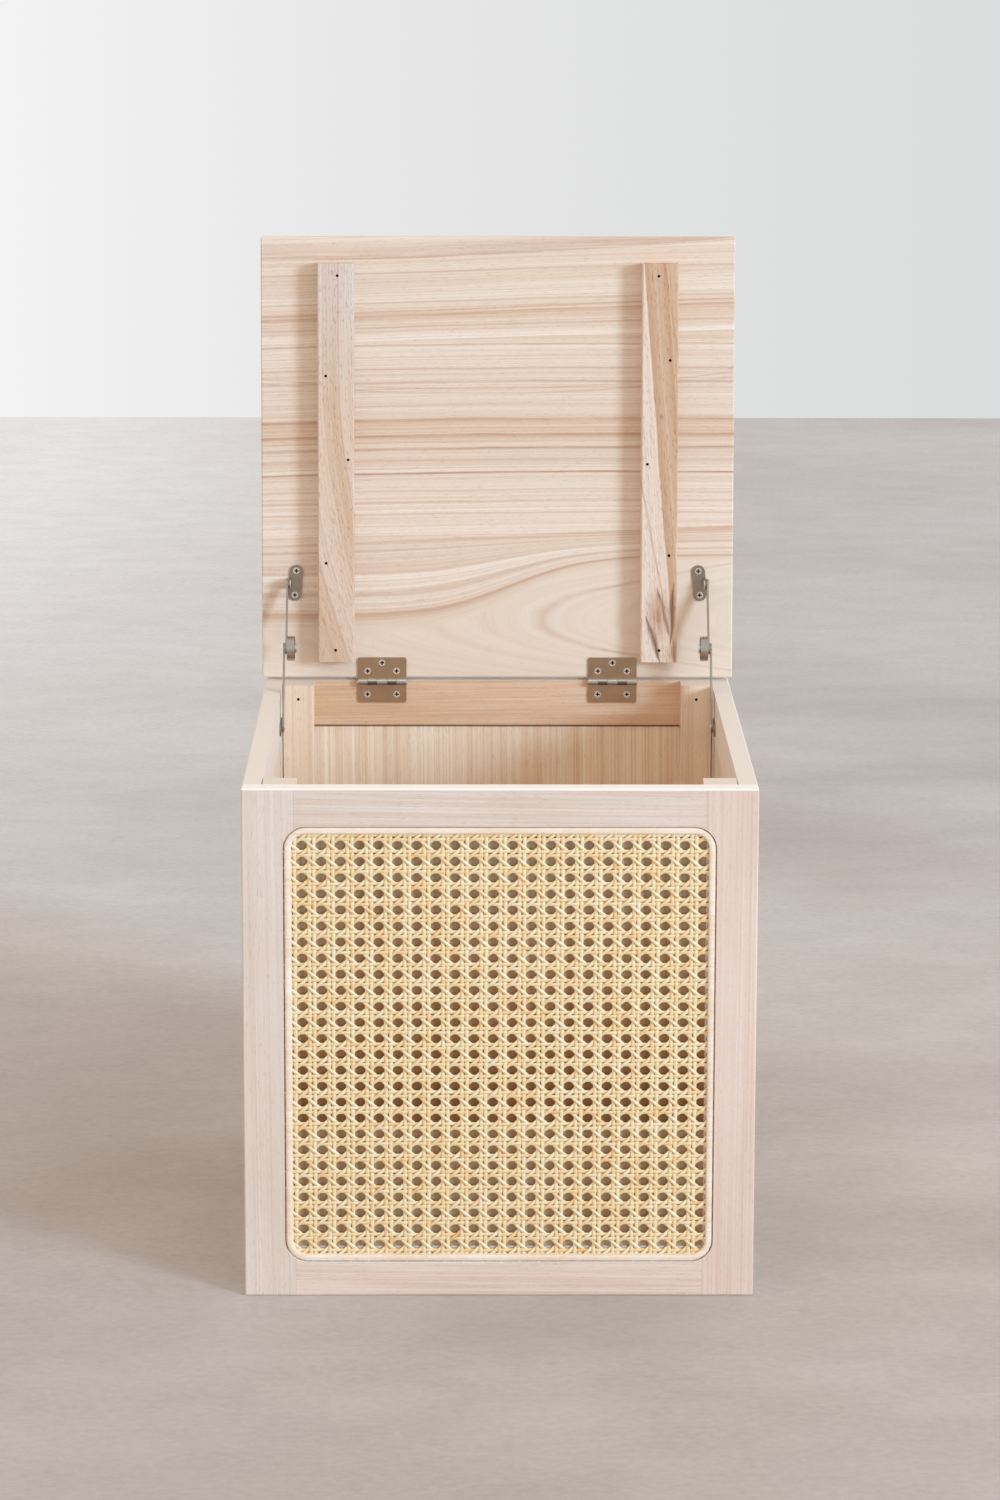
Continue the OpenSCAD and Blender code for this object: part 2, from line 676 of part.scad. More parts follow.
module right_top_rail() { color(pale) difference() { right_wood() top_rail(body_d, true); side_drills(); } }
module right_bottom_rail() { color(pale) right_wood() bottom_rail(body_d, true); }
module front_panel() { color(warm) on_front() frame_panel(body_w); }
module back_panel() { color(warm) on_back() frame_panel(body_w); }
module left_panel() { color(warm) on_left() frame_panel(body_d); }
module right_panel() { color(warm) on_right() frame_panel(body_d); }
module bottom_panel() {
    w = body_w - 2 * frame_t - 2 * bottom_play;
    d = body_d - 2 * frame_t - 2 * bottom_play;
    color(warm) translate([-w / 2, mid_y - d / 2, floor_z - bottom_t]) cube([w, d, bottom_t]);
}
// Two long cleats and, between them, two short ones
module bottom_cleats() {
    w = body_w - 2 * frame_t;
    d = body_d - 2 * frame_t;
    color(warm) translate([0, mid_y, 0]) for (s = [0, 1]) mirror([0, s, 0]) {
        translate([-w / 2, -d / 2, cleat_lift]) cube([w, cleat, cleat]);
        mirror([s, 0, 0]) translate([-w / 2, -d / 2 + cleat, cleat_lift]) cube([cleat, d - 2 * cleat, cleat]);
    }
}
module front_cane() { color(straw) on_front() cane(body_w, cane_cols, cane_rows); }
module left_cane() { color(straw) on_left() cane(body_d, 0, 0); }
module right_cane() { color(straw) on_right() cane(body_d, 0, 0); }
module front_bead() { color(pale) on_front() bead(body_w); }
module left_bead() { color(pale) on_left() bead(body_d); }
module right_bead() { color(pale) on_right() bead(body_d); }
module corner_post(sx, sy) {
    color(cream) difference() {
        at_post(sx, sy) post();
        post_drills();
    }
}
module front_left_post() { corner_post(-1, -1); }
module front_right_post() { corner_post(1, -1); }
module back_left_post() { corner_post(-1, 1); }
module back_right_post() { corner_post(1, 1); }
module lid_rear_plank() { color(cream) plank([lid_rear, lid_rear], [seam_one_left, seam_one_right]); }
module lid_middle_plank() {
    color(cream) plank([seam_one_left, seam_one_right], [seam_two_left, seam_two_right]);
}
module lid_front_plank() { color(cream) plank([seam_two_left, seam_two_right], [lid_front, lid_front]); }
module lid_left_batten() { color(cream) batten(-1); }
module lid_right_batten() { color(cream) batten(1); }
module left_hinge_box_leaf() { color(steel) box_leaf_piece(-1); }
module right_hinge_box_leaf() { color(steel) box_leaf_piece(1); }
module left_hinge_lid_leaf() { color(steel) lid_leaf_piece(-1); }
module right_hinge_lid_leaf() { color(steel) lid_leaf_piece(1); }
module hinge_pins() { color(steel) for (s = [-1, 1]) hinge_pin(s); }
module left_stay_side_plate() { color(steel) side_plate(); }
module right_stay_side_plate() { color(steel) mirror([1, 0, 0]) side_plate(); }
module left_stay_lower_arm() { color(steel) lower_arm_piece(); }
module right_stay_lower_arm() { color(steel) mirror([1, 0, 0]) lower_arm_piece(); }
module left_stay_pivot_screw() { color(steel) pivot_screw(); }
module right_stay_pivot_screw() { color(steel) mirror([1, 0, 0]) pivot_screw(); }
module left_stay_upper_arm() { color(steel) upper_arm_piece(); }
module right_stay_upper_arm() { color(steel) mirror([1, 0, 0]) upper_arm_piece(); }
module left_stay_drum() { color(steel) drum(); }
module right_stay_drum() { color(steel) mirror([1, 0, 0]) drum(); }
module left_stay_lid_plate() { color(steel) lid_plate(); }
module right_stay_lid_plate() { color(steel) mirror([1, 0, 0]) lid_plate(); }
module stay_side_rivets() { color(steel) both() side_rivet(); }
module stay_lid_rivets() { color(steel) both() lid_rivet(); }
module box_screws() {
    color(steel) for (s = [-1, 1]) at_box_leaf_screws(s) screw();
    color(steel) both() at_side_plate_screws() screw();
}
module lid_screws() {
    color(steel) for (s = [-1, 1]) at_lid_leaf_screws(s) screw();
    color(steel) both() at_lid_plate_screws() screw();
}
module batten_brads() {
    color(steel) at_batten_brads() cylinder(h = brad_l, r = brad_r, center = true, $fn = 24);
}
module post_brads() {
    color(steel) at_posts() for (z = post_brad_z)
        translate([0, post_d / 2 - brad_sink, z]) rotate([90, 0, 0])
            cylinder(h = post_brad_l, r = brad_r, $fn = 24);
}

front_left_stile();
front_right_stile();
front_top_rail();
front_bottom_rail();
back_left_stile();
back_right_stile();
back_top_rail();
back_bottom_rail();
left_front_stile();
left_back_stile();
left_top_rail();
left_bottom_rail();
right_front_stile();
right_back_stile();
right_top_rail();
right_bottom_rail();
front_panel();
back_panel();
left_panel();
right_panel();
bottom_panel();
bottom_cleats();
front_cane();
left_cane();
right_cane();
front_bead();
left_bead();
right_bead();
front_left_post();
front_right_post();
back_left_post();
back_right_post();
lid_rear_plank();
lid_middle_plank();
lid_front_plank();
lid_left_batten();
lid_right_batten();
left_hinge_box_leaf();
right_hinge_box_leaf();
left_hinge_lid_leaf();
right_hinge_lid_leaf();
hinge_pins();
left_stay_side_plate();
right_stay_side_plate();
left_stay_lower_arm();
right_stay_lower_arm();
left_stay_pivot_screw();
right_stay_pivot_screw();
left_stay_upper_arm();
right_stay_upper_arm();
left_stay_drum();
right_stay_drum();
left_stay_lid_plate();
right_stay_lid_plate();
stay_side_rivets();
stay_lid_rivets();
box_screws();
lid_screws();
batten_brads();
post_brads();
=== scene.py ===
import math

import bpy
import numpy as np
from mathutils import Matrix, Vector


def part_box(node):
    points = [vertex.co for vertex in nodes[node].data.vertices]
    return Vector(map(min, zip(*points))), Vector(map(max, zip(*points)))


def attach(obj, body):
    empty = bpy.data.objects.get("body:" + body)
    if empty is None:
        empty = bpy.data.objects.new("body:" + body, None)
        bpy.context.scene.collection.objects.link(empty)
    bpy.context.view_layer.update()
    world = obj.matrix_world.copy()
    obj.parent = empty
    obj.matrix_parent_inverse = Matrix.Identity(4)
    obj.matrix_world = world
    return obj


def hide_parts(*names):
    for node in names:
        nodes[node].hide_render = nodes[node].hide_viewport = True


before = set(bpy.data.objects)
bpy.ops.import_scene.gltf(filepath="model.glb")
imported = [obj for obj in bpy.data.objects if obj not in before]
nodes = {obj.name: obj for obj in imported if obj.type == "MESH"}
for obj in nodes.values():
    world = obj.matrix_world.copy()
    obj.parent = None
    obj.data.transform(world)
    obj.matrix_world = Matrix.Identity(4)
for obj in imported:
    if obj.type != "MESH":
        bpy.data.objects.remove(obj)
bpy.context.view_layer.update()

# Camera: a long lens a little above the lid, looking down at the open trunk from straight in front.
# It was fitted to the edges of the box; a small shift of the lens keeps the trunk low in the frame.
# The named lengths of this script are in millimetres, apart from the lamp's, which are in metres.
CAMERA_PLACE_MM = (-22.2, -3245.9, 1170.5)
CAMERA_DOWN = 9.488
CAMERA_YAW = -0.405
CAMERA_ROLL = 0.135
CAMERA_LENS_MM = 97.06
CAMERA_SHIFT = -0.19

lens = bpy.data.cameras.new("camera")
lens.lens = CAMERA_LENS_MM
lens.sensor_width = 36.0
lens.shift_y = CAMERA_SHIFT
lens.clip_end = 60.0
camera = bpy.data.objects.new("camera", lens)
bpy.context.scene.collection.objects.link(camera)
camera.matrix_world = (Matrix.Translation(Vector(CAMERA_PLACE_MM) / 1000)
                       @ Matrix.Rotation(math.radians(CAMERA_YAW), 4, "Z")
                       @ Matrix.Rotation(math.radians(90 - CAMERA_DOWN), 4, "X")
                       @ Matrix.Rotation(math.radians(CAMERA_ROLL), 4, "Z"))
bpy.context.scene.camera = camera
bpy.context.scene.view_settings.view_transform = "Standard"


# Studio: warm even light from all round and one large cool lamp far off at the front right, 13 degrees up.
# The lamp throws the soft shadows of the battens to the left; the wall behind is brighter on the left.
def linear(hex_colour):
    """An sRGB hex colour as linear RGBA: c / 12.92 below 0.04045, else ((c + 0.055) / 1.055) ^ 2.4."""
    srgb = np.array([int(hex_colour[i:i + 2], 16) for i in (1, 3, 5)]) / 255
    light = np.where(srgb <= 0.04045, srgb / 12.92, ((srgb + 0.055) / 1.055) ** 2.4)
    return (*light.tolist(), 1.0)


def wire(node, inputs):
    """Sets each input of a node to a number or hex colour, or links it to the output that feeds it."""
    for key, value in inputs.items():
        if isinstance(value, bpy.types.NodeSocket):
            node.id_data.links.new(value, node.inputs[key])
        else:
            node.inputs[key].default_value = linear(value) if isinstance(value, str) else value


def add(tree, kind, inputs=None, stops=(), out=0, **settings):
    """Adds a shader node and gives its output; stops are the (place, grey or hex colour) pairs of a ramp."""
    node = tree.nodes.new("ShaderNode" + kind)
    for key, value in settings.items():
        setattr(node, key, value)
    wire(node, inputs or {})
    if stops:
        elements = node.color_ramp.elements
        while len(elements) < len(stops):
            elements.new(0.5)
        for element, (place, colour) in zip(elements, stops):
            element.position = place
            element.color = linear(colour) if isinstance(colour, str) else (colour, colour, colour, 1.0)
    return node.outputs[out] if node.outputs else None


AMBIENT = 0.90
AMBIENT_COLOUR = "#fff3e7"
WALL_STOPS = ((0.0, "#f4f4f5"), (0.30, "#eaeaeb"), (0.5, "#e5e5e6"), (0.95, "#dcdddd"))
LAMP_WAY = Vector((0.734, -0.638, 0.233))
LAMP_DISTANCE = 8.0
LAMP_SIZE = 2.1
LAMP_WATTS = 430.0
LAMP_COLOUR = "#c6e5ff"
LIT_POINT = Vector((0, 0, 0.45))

world = bpy.data.worlds.new("studio")
world.use_nodes = True
sky = world.node_tree
sky.nodes.clear()
seen = 0.0
for kind_of_ray in ("Is Camera Ray", "Is Glossy Ray", "Is Transmission Ray"):
    seen = add(sky, "Math", {0: seen, 1: add(sky, "LightPath", out=kind_of_ray)}, operation="MAXIMUM")
aside = add(sky, "SeparateXYZ", {0: add(sky, "TexCoord", out="Generated")}, out="X")
across_wall = add(sky, "Math", {0: aside, 1: 4.0, 2: 0.5}, operation="MULTIPLY_ADD")
wall = add(sky, "Background", {"Color": add(sky, "ValToRGB", {0: across_wall}, stops=WALL_STOPS)})
even = add(sky, "Background", {"Color": AMBIENT_COLOUR, "Strength": AMBIENT})
add(sky, "OutputWorld", {"Surface": add(sky, "MixShader", {0: seen, 1: even, 2: wall})})
bpy.context.scene.world = world

light = bpy.data.lights.new("front_lamp", "AREA")
light.shape = "DISK"
light.size = LAMP_SIZE
light.energy = LAMP_WATTS
light.color = linear(LAMP_COLOUR)[:3]
lamp = bpy.data.objects.new("front_lamp", light)
bpy.context.scene.collection.objects.link(lamp)
lamp.location = LIT_POINT + LAMP_WAY * LAMP_DISTANCE
lamp.rotation_euler = LAMP_WAY.to_track_quat("Z", "Y").to_euler()

# Floor: power-floated concrete, matt, grey-brown near the camera and paler towards the lit wall.
# It is clouded in patches of half a metre and finely mottled.
FLOOR_SIDE = 9000
FLOOR_FRONT = -9000
FLOOR_BACK = 4300
PALER_FULL = 3100.0
LIT_RIGHT, LIT_LEFT = 150.0, -750.0
LIT_FRONT, LIT_BACK = 900.0, 3600.0


def material(name):
    """A new material, with its node tree and its shader."""
    made = bpy.data.materials.new(name)
    made.use_nodes = True
    return made, made.node_tree, made.node_tree.nodes["Principled BSDF"]


def mesh_piece(name, points, faces, finish, smooth=True):
    """A mesh object from points in millimetres and faces as index rows, at the origin of the row frame."""
    mesh = bpy.data.meshes.new(name)
    mesh.from_pydata((np.asarray(points) / 1000).tolist(), [], np.asarray(faces).tolist())
    mesh.polygons.foreach_set("use_smooth", np.full(len(mesh.polygons), smooth))
    mesh.materials.append(finish)
    mesh.update()
    piece = bpy.data.objects.new(name, mesh)
    bpy.context.scene.collection.objects.link(piece)
    return piece


def millimetres(tree):
    """Object coordinates in millimetres."""
    place = add(tree, "TexCoord", out="Object")
    return add(tree, "VectorMath", {0: place, "Scale": 1000.0}, operation="SCALE")


def streaks(tree, place, length, width, seed, detail=3.0, rough=0.55):
    """Noise from 0 to 1, drawn out along X of place into streaks about length by width millimetres."""
    drawn = add(tree, "VectorMath", {0: place, 1: (1 / length, 1 / width, 1 / width), 2: (seed, seed, 0)},
                operation="MULTIPLY_ADD")
    return add(tree, "TexNoise", {"Vector": drawn, "Scale": 1.0, "Detail": detail, "Roughness": rough})


def floated_concrete():
    """Floated concrete: greyer patches and fine mottling, paler far away and where the wall lights it."""
    finish, tree, shader = material("floated_concrete")
    place = millimetres(tree)
    cloud = streaks(tree, place, 900, 520, 3.0, 3.0)
    mottle = streaks(tree, place, 90, 50, 5.0, 6.0, 0.68)
    speck = streaks(tree, place, 9, 6, 7.0, 4.0, 0.7)
    aside = add(tree, "SeparateXYZ", {0: place}, out="X")
    away = add(tree, "SeparateXYZ", {0: place}, out="Y")
    near_tone = add(tree, "ValToRGB", {0: cloud}, stops=[(0.35, "#b5aba6"), (0.65, "#cdc7c4")])
    far_tone = add(tree, "ValToRGB", {0: cloud}, stops=[(0.35, "#c7c7cb"), (0.65, "#d1d3d7")])
    share = add(tree, "MapRange", {"Value": away, "From Min": 0.0, "From Max": PALER_FULL})
    colour = add(tree, "Mix", {0: share, 6: near_tone, 7: far_tone}, data_type="RGBA", out=2)
    left = add(tree, "MapRange", {"Value": aside, "From Min": LIT_RIGHT, "From Max": LIT_LEFT})
    back = add(tree, "MapRange", {"Value": away, "From Min": LIT_FRONT, "From Max": LIT_BACK, "To Min": 0.2})
    lit = add(tree, "Math", {0: left, 1: back}, operation="MULTIPLY")
    colour = add(tree, "Mix", {0: lit, 6: colour, 7: "#f3f8ff"}, data_type="RGBA", out=2)
    level = add(tree, "Math", {0: mottle, 1: 0.7, 2: speck}, operation="MULTIPLY_ADD")
    grey = add(tree, "ValToRGB", {0: level}, stops=[(0.6, 0.86), (1.0, 1.0)])
    colour = add(tree, "Mix", {0: 1.0, 6: colour, 7: grey}, data_type="RGBA", blend_type="MULTIPLY", out=2)
    wire(shader, {"Base Color": colour, "Roughness": 0.8, "Specular IOR Level": 0.2})
    return finish


corners = [(x, y, 0) for x, y in ((-FLOOR_SIDE, FLOOR_FRONT), (FLOOR_SIDE, FLOOR_FRONT),
                                  (FLOOR_SIDE, FLOOR_BACK), (-FLOOR_SIDE, FLOOR_BACK))]
mesh_piece("studio_floor", corners, [(0, 1, 2, 3)], floated_concrete())


# Frame members: stiles and rails of paulownia, planed, washed with thin white stain and left matt.
# Each stick is sawn from its own place in the log, so the rings show as fine streaks that run its length.
# The two rails of the back are left unwashed, so they are warmer.
ALONG_X = (0, 0, 0)
ALONG_Y = (0, 0, 90)
ALONG_Z = (0, 90, 0)
SHOULDER = round(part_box("front_right_stile")[0].x * 1000, 3)
GLUE_LINE = 0.5
GLUE_TONE, GLUE_SHARE = "#9a8070", 0.3
# Painted shadow line along the top of each panel, where it goes into its groove.
GROOVE_SHADE_TONE, GROOVE_SHADE_SHARE = "#6b4a30", 0.8
RING_RISE = ((0.0, 0.0), (0.45, 0.12), (0.86, 1.0), (0.95, 0.35), (1.0, 0.0))
chance = np.random.default_rng(11)


def planed(tree, place, colour, seed, strength=1.0, flecked=0.6):
    """Planed timber: bands and fine lines along X of place darken or lighten the colour, short flecks dot it.

    Gives the colour and the height of the fibres.
    """
    bands = streaks(tree, place, 1100, 8.0, seed, 2.0)
    lines = streaks(tree, place, 700, 1.5, seed + 20, 2.0, 0.6)
    flecks = streaks(tree, place, 6, 0.9, seed + 40, 2.0, 0.6)
    for noise, stops, tint, blend in (
            (bands, [(0.38, 0.5 * strength), (0.56, 0.0)], "#eddccf", "MULTIPLY"),
            (lines, [(0.36, 0.7 * strength), (0.53, 0.0)], "#ead9cc", "MULTIPLY"),
            (lines, [(0.56, 0.0), (0.72, 0.4 * strength)], "#fffaf4", "MIX"),
            (flecks, [(0.56, 0.0), (0.72, 0.6 * flecked)], "#d9bfac", "MULTIPLY")):
        share = add(tree, "ValToRGB", {0: noise}, stops=stops)
        colour = add(tree, "Mix", {0: share, 6: colour, 7: tint}, data_type="RGBA", blend_type=blend, out=2)
    return colour, lines


def matt_wood(tree, shader, colour, height, roughness=0.58, depth=0.25):
    """Sets a wooden surface: sheen even, its fibres standing up to 0.2 mm proud."""
    bump = add(tree, "Bump", {"Height": height, "Strength": depth, "Distance": 0.0002})
    wire(shader, {"Base Color": colour, "Roughness": roughness, "Specular IOR Level": 0.35, "Normal": bump})


def dress(node, finish):
    """Gives a CAD node its finish."""
    for place in nodes[node].material_slots:
        place.material = finish


def middle_mm(node):
    """Middle of a CAD node at rest, in millimetres."""
    low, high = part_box(node)
    return (low + high) * 500


BODY_MIDDLE = middle_mm("bottom_panel")


def looking(tree, way):
    """1 on faces that look within 60 degrees of a way, 0 on the others."""
    normal = add(tree, "NewGeometry", out="Normal")
    along = add(tree, "VectorMath", {0: normal, 1: way}, operation="DOT_PRODUCT", out="Value")
    return add(tree, "Math", {0: along, 1: 0.5}, operation="GREATER_THAN")


def tinted(tree, colour, where, share, tone):
    """The colour with a share of a tone mixed in, as far as where goes from 0 to 1."""
    share = add(tree, "Math", {0: where, 1: share}, operation="MULTIPLY")
    return add(tree, "Mix", {0: share, 6: colour, 7: tone}, data_type="RGBA", out=2)


def stick(node, lay, tones, reach=60.0, ring_share=0.35, strength=0.8, shoulder_axis=None, faces=(),
          groove=None, graded=None):
    """Finish for one stick, whose rings are cylinders round a pith up to reach beside and behind it.

    r is the distance from the pith plus a slow drift; a ring darkens as r / ring_mm nears a whole number.
    shoulder_axis is the axis that crosses the glue lines at both ends of a rail. faces gives (way, tone,
    share) for faces whose tone is painted light or shade: lit tops, shaded tops and lit inner faces. groove
    is the height in mm above which the wood is darkened by a painted shadow, where it enters its groove.
    graded gives (way, lowest, highest, stops) for a face whose tone changes with its height, a painted shade.
    """
    finish, tree, shader = material("planed_paulownia_" + node)
    pith = Vector(chance.uniform(-1, 1, 3) * reach) + middle_mm(node)
    true = np.radians(np.array(lay) + chance.uniform(-0.8, 0.8, 3))
    ring_mm = chance.uniform(7, 12)
    seed = float(chance.uniform(0, 90))
    place = millimetres(tree)
    local = add(tree, "Mapping", {"Vector": place, "Location": pith, "Rotation": true.tolist()},
                vector_type="TEXTURE")
    across = add(tree, "VectorMath", {0: local, 1: (0, 1, 1)}, operation="MULTIPLY")
    r = add(tree, "VectorMath", {0: across}, operation="LENGTH", out="Value")
    r = add(tree, "Math", {0: streaks(tree, local, 400, 60, seed), 1: 7.0, 2: r}, operation="MULTIPLY_ADD")
    r = add(tree, "Math", {0: streaks(tree, local, 60, 10, seed + 5), 1: 0.6, 2: r}, operation="MULTIPLY_ADD")
    phase = add(tree, "Math", {0: r, 1: ring_mm}, operation="DIVIDE")
    phase = add(tree, "Math", {0: phase}, operation="FRACT")
    rings = add(tree, "ValToRGB", {0: phase}, stops=RING_RISE)
    uneven = add(tree, "ValToRGB", {0: streaks(tree, local, 500, 11, seed + 9, 1.0)},
                 stops=[(0.35, 0.1), (0.65, ring_share)])
    share = add(tree, "Math", {0: rings, 1: uneven}, operation="MULTIPLY")
    ground = add(tree, "ValToRGB", {0: streaks(tree, local, 160, 40, seed + 6)},
                 stops=[(0.36, tones["pale"]), (0.64, tones["mid"])])
    colour = add(tree, "Mix", {0: share, 6: ground, 7: tones["ring"]}, data_type="RGBA", out=2)
    colour, height = planed(tree, local, colour, seed + 2, strength)
    if shoulder_axis:
        along = add(tree, "SeparateXYZ", {0: place}, out=shoulder_axis)
        centre = BODY_MIDDLE.x if shoulder_axis == "X" else BODY_MIDDLE.y
        off = add(tree, "Math", {0: along, 1: centre}, operation="SUBTRACT")
        off = add(tree, "Math", {0: off}, operation="ABSOLUTE")
        line = add(tree, "Math", {0: off, 1: SHOULDER - GLUE_LINE}, operation="GREATER_THAN")
        colour = tinted(tree, colour, line, GLUE_SHARE, GLUE_TONE)
    up = add(tree, "SeparateXYZ", {0: place}, out="Z")
    if groove:
        deep = add(tree, "Math", {0: up, 1: groove}, operation="GREATER_THAN")
        colour = tinted(tree, colour, deep, GROOVE_SHADE_SHARE, GROOVE_SHADE_TONE)
    if graded:
        way, lowest, highest, stops = graded
        level = add(tree, "MapRange", {"Value": up, "From Min": lowest, "From Max": highest})
        grade = add(tree, "ValToRGB", {0: level}, stops=stops)
        colour = add(tree, "Mix", {0: looking(tree, way), 6: colour, 7: grade}, data_type="RGBA",
                     blend_type="MULTIPLY", out=2)
    for way, tone, share in faces:
        colour = tinted(tree, colour, looking(tree, way), share, tone)
    matt_wood(tree, shader, colour, height)
    dress(node, finish)


WASHED = dict(pale="#e9dbd1", mid="#e3d2c4", ring="#d5b9a8")
REDDER = dict(pale="#ebd7ca", mid="#e5cebe", ring="#d5b2a0")
UNWASHED = dict(pale="#eaccb0", mid="#e2be9d", ring="#c79b74")
UP = (0, 0, 1)
INWARD = {"left": (1, 0, 0), "right": (-1, 0, 0)}
# Painted light and shade by face: lit tops of the front and back frames, shaded tops of the side frames, lit
# inner faces of the sides.
LIT_TOP_EDGE, SHADED_EDGE, LIT_INSIDE = "#fdf8f2", "#ede4dc", "#fff6ec"
OWN_TONES = {"front_right_stile": REDDER, "front_bottom_rail": REDDER, "back_top_rail": UNWASHED,
             "back_bottom_rail": UNWASHED}
for side in ("front", "back", "left", "right"):
    if side in INWARD:
        axis, lay, ends = "Y", ALONG_Y, ("front", "back")
        faces = ((UP, SHADED_EDGE, 1.0), (INWARD[side], LIT_INSIDE, 0.6))
    else:
        axis, lay, ends = "X", ALONG_X, ("left", "right")
        faces = ((UP, LIT_TOP_EDGE, 1.0),)
    for end in ends:
        name = f"{side}_{end}_stile"
        stick(name, ALONG_Z, OWN_TONES.get(name, WASHED), ring_share=0.2, strength=0.42, faces=faces)
    for level in ("top", "bottom"):
        name = f"{side}_{level}_rail"
        stick(name, lay, OWN_TONES.get(name, WASHED), ring_share=0.25, strength=0.5, shoulder_axis=axis,
              faces=faces)

# Panels: thin boards of the same wood, unwashed, so warmer, in grooves of the frames; their grain is upright.
# The bottom panel rests loose on four cleats glued round the inside of the frames. Behind the cane a panel's
# outward face is painted darker downwards, painted shade where less light comes round the weave, down to
# 139 mm up, and paler below that.
PANEL = dict(pale="#fdf1df", mid="#f8e5cd", ring="#debd98")
GROOVE_SHADOW = 2.3
LOWEST_GAP = 40.0
HIGHEST_GAP = 366.0
# Painted shade by height on the outward face of each panel behind the cane.
CANE_SHADE_STOPS = ((0.0, "#fff1d2"), (0.2, "#ffe9c4"), (0.298, "#fde3ba"), (0.31, "#d8ac7c"), (0.365, "#d8ac7c"),
               (0.525, "#edc894"), (0.68, "#fddfb7"), (0.8, "#ffe9c6"), (1.0, "#fff3d8"))
OUTWARD = {"front": (0, -1, 0), "left": (-1, 0, 0), "right": (1, 0, 0)}
for side in ("front", "back", "left", "right"):
    rail_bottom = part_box(side + "_top_rail")[0].z * 1000
    graded = (OUTWARD[side], LOWEST_GAP, HIGHEST_GAP, CANE_SHADE_STOPS) if side in OUTWARD else None
    stick(side + "_panel", ALONG_Z, PANEL, reach=120.0, groove=rail_bottom - GROOVE_SHADOW, graded=graded)
stick("bottom_panel", ALONG_Y, PANEL, reach=120.0)
stick("bottom_cleats", ALONG_X, PANEL)

# Corner posts: square sticks glued into the corners and nailed, planed on the inner faces only.
# They are of the same unwashed wood as the panels.
POST = dict(pale="#fae9d4", mid="#f5dec6", ring="#e1bd9b")
for post in ("front_left_post", "front_right_post", "back_left_post", "back_right_post"):
    # Their top faces take a greyer tone, painted light and shade like the frames' tops.
    stick(post, ALONG_Z, POST, strength=0.5, faces=((UP, "#e9ddd1", 1.0),))

# Cane webbing: split rattan skin, machine-woven into pairs across, pairs up and down and two slanting sets.
# It lies on the ledge of each window. The openings repeat every 14.8 mm across and 12.9 mm down.
HALF_BODY = round(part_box("front_right_stile")[1].x * 1000, 3)
PITCH_X = 14.83
PITCH_Z = 12.93
PAIR_X = 1.84
PAIR_Z = 1.64
UPRIGHT_W = 3.35
LEVEL_W = 3.05
SLANT_W = 2.95
STRAND_T = 1.0
LIFT = 0.5
SLANT_LIFT = 1.0
CANE_DEPTH = 3.8
CANE_CORNER = 16.0
FARTHEST = 600
STRAND_SECTION = ((-0.5, -0.5), (-0.4, 0.5), (0.4, 0.5), (0.5, -0.5))
STEPS = 8
HOLE_SHIFT = 2.2
HOLE_BOTTOM = 41.1
WANDER = 0.2


def window_box(side):
    """Edges of a cane sheet in window axes: half width, bottom and top, in millimetres."""
    low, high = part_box(side + "_cane")
    across = 0 if side == "front" else 1
    return (high[across] - low[across]) * 500, low[2] * 1000, high[2] * 1000


def to_side(side, points):
    """Turns points from window axes (a along the face, depth inwards, z up) to the row frame."""
    a, depth, z = np.moveaxis(np.asarray(points, float), -1, 0)
    inward = depth - HALF_BODY
    if side == "front":
        return np.stack([a, BODY_MIDDLE.y + inward, z], -1)
    if side == "left":
        return np.stack([inward, BODY_MIDDLE.y - a, z], -1)
    return np.stack([-inward, BODY_MIDDLE.y + a, z], -1)


def reach_in_window(start, way, half, low, high):
    """Where the line start + t * way lies inside the round-cornered window: the first and last t."""
    t = np.linspace(-FARTHEST, FARTHEST, 8 * FARTHEST + 1)
    a = start[0] + t * way[0]
    z = start[1] + t * way[1]
    da = np.maximum(np.abs(a) - (half - CANE_CORNER), 0)
    dz = np.maximum(np.abs(z - (low + high) / 2) - ((high - low) / 2 - CANE_CORNER), 0)
    inside = np.nonzero(np.hypot(da, dz) <= CANE_CORNER)[0]
    return (t[inside[0]], t[inside[-1]]) if len(inside) > 1 else (0.0, 0.0)


def strand(start, way, span, step, width, height):
    """A flat strip with a low crown that follows start + t * way and stands height(t) out of the sheet.

    Its section has four corners, two at the back and two a little closer in at the front. It wanders aside
    by WANDER * sin(2 pi t / length + phase), as the skin's own curve draws it. It gives the points, the
    faces, t at each point and cut, which is 1 on the cut edges at the back and 0 on the skin; the skin's
    colour darkens towards cut, partly the brown of a cut edge, partly painted shade in the gaps of the weave.
    """
    count = max(int((span[1] - span[0]) / step), 2)
    t = np.linspace(span[0], span[1], count)
    stray = WANDER * np.sin(2 * np.pi * t / chance.uniform(60, 140) + chance.uniform(0, 6.3))
    aside = np.array([-way[1], 0, way[0]])
    line = np.stack([start[0] + t * way[0], CANE_DEPTH - height(t), start[1] + t * way[1]], -1)
    line = line + stray[:, None] * aside
    edges = [line + aside * width * s - np.array([0, STRAND_T * h, 0]) for s, h in STRAND_SECTION]
    index = np.arange(count * 4).reshape(count, 4)
    near, far = index[:-1], index[1:]
    sides = np.stack([near, np.roll(near, -1, 1), np.roll(far, -1, 1), far], -1).reshape(-1, 4)
    ends = np.stack([index[0][::-1], index[-1]])
    cut = np.tile([1.0, 0.0, 0.0, 1.0], count)
    return np.stack(edges, 1).reshape(-1, 3), np.concatenate([sides, ends]), np.repeat(t, 4), cut


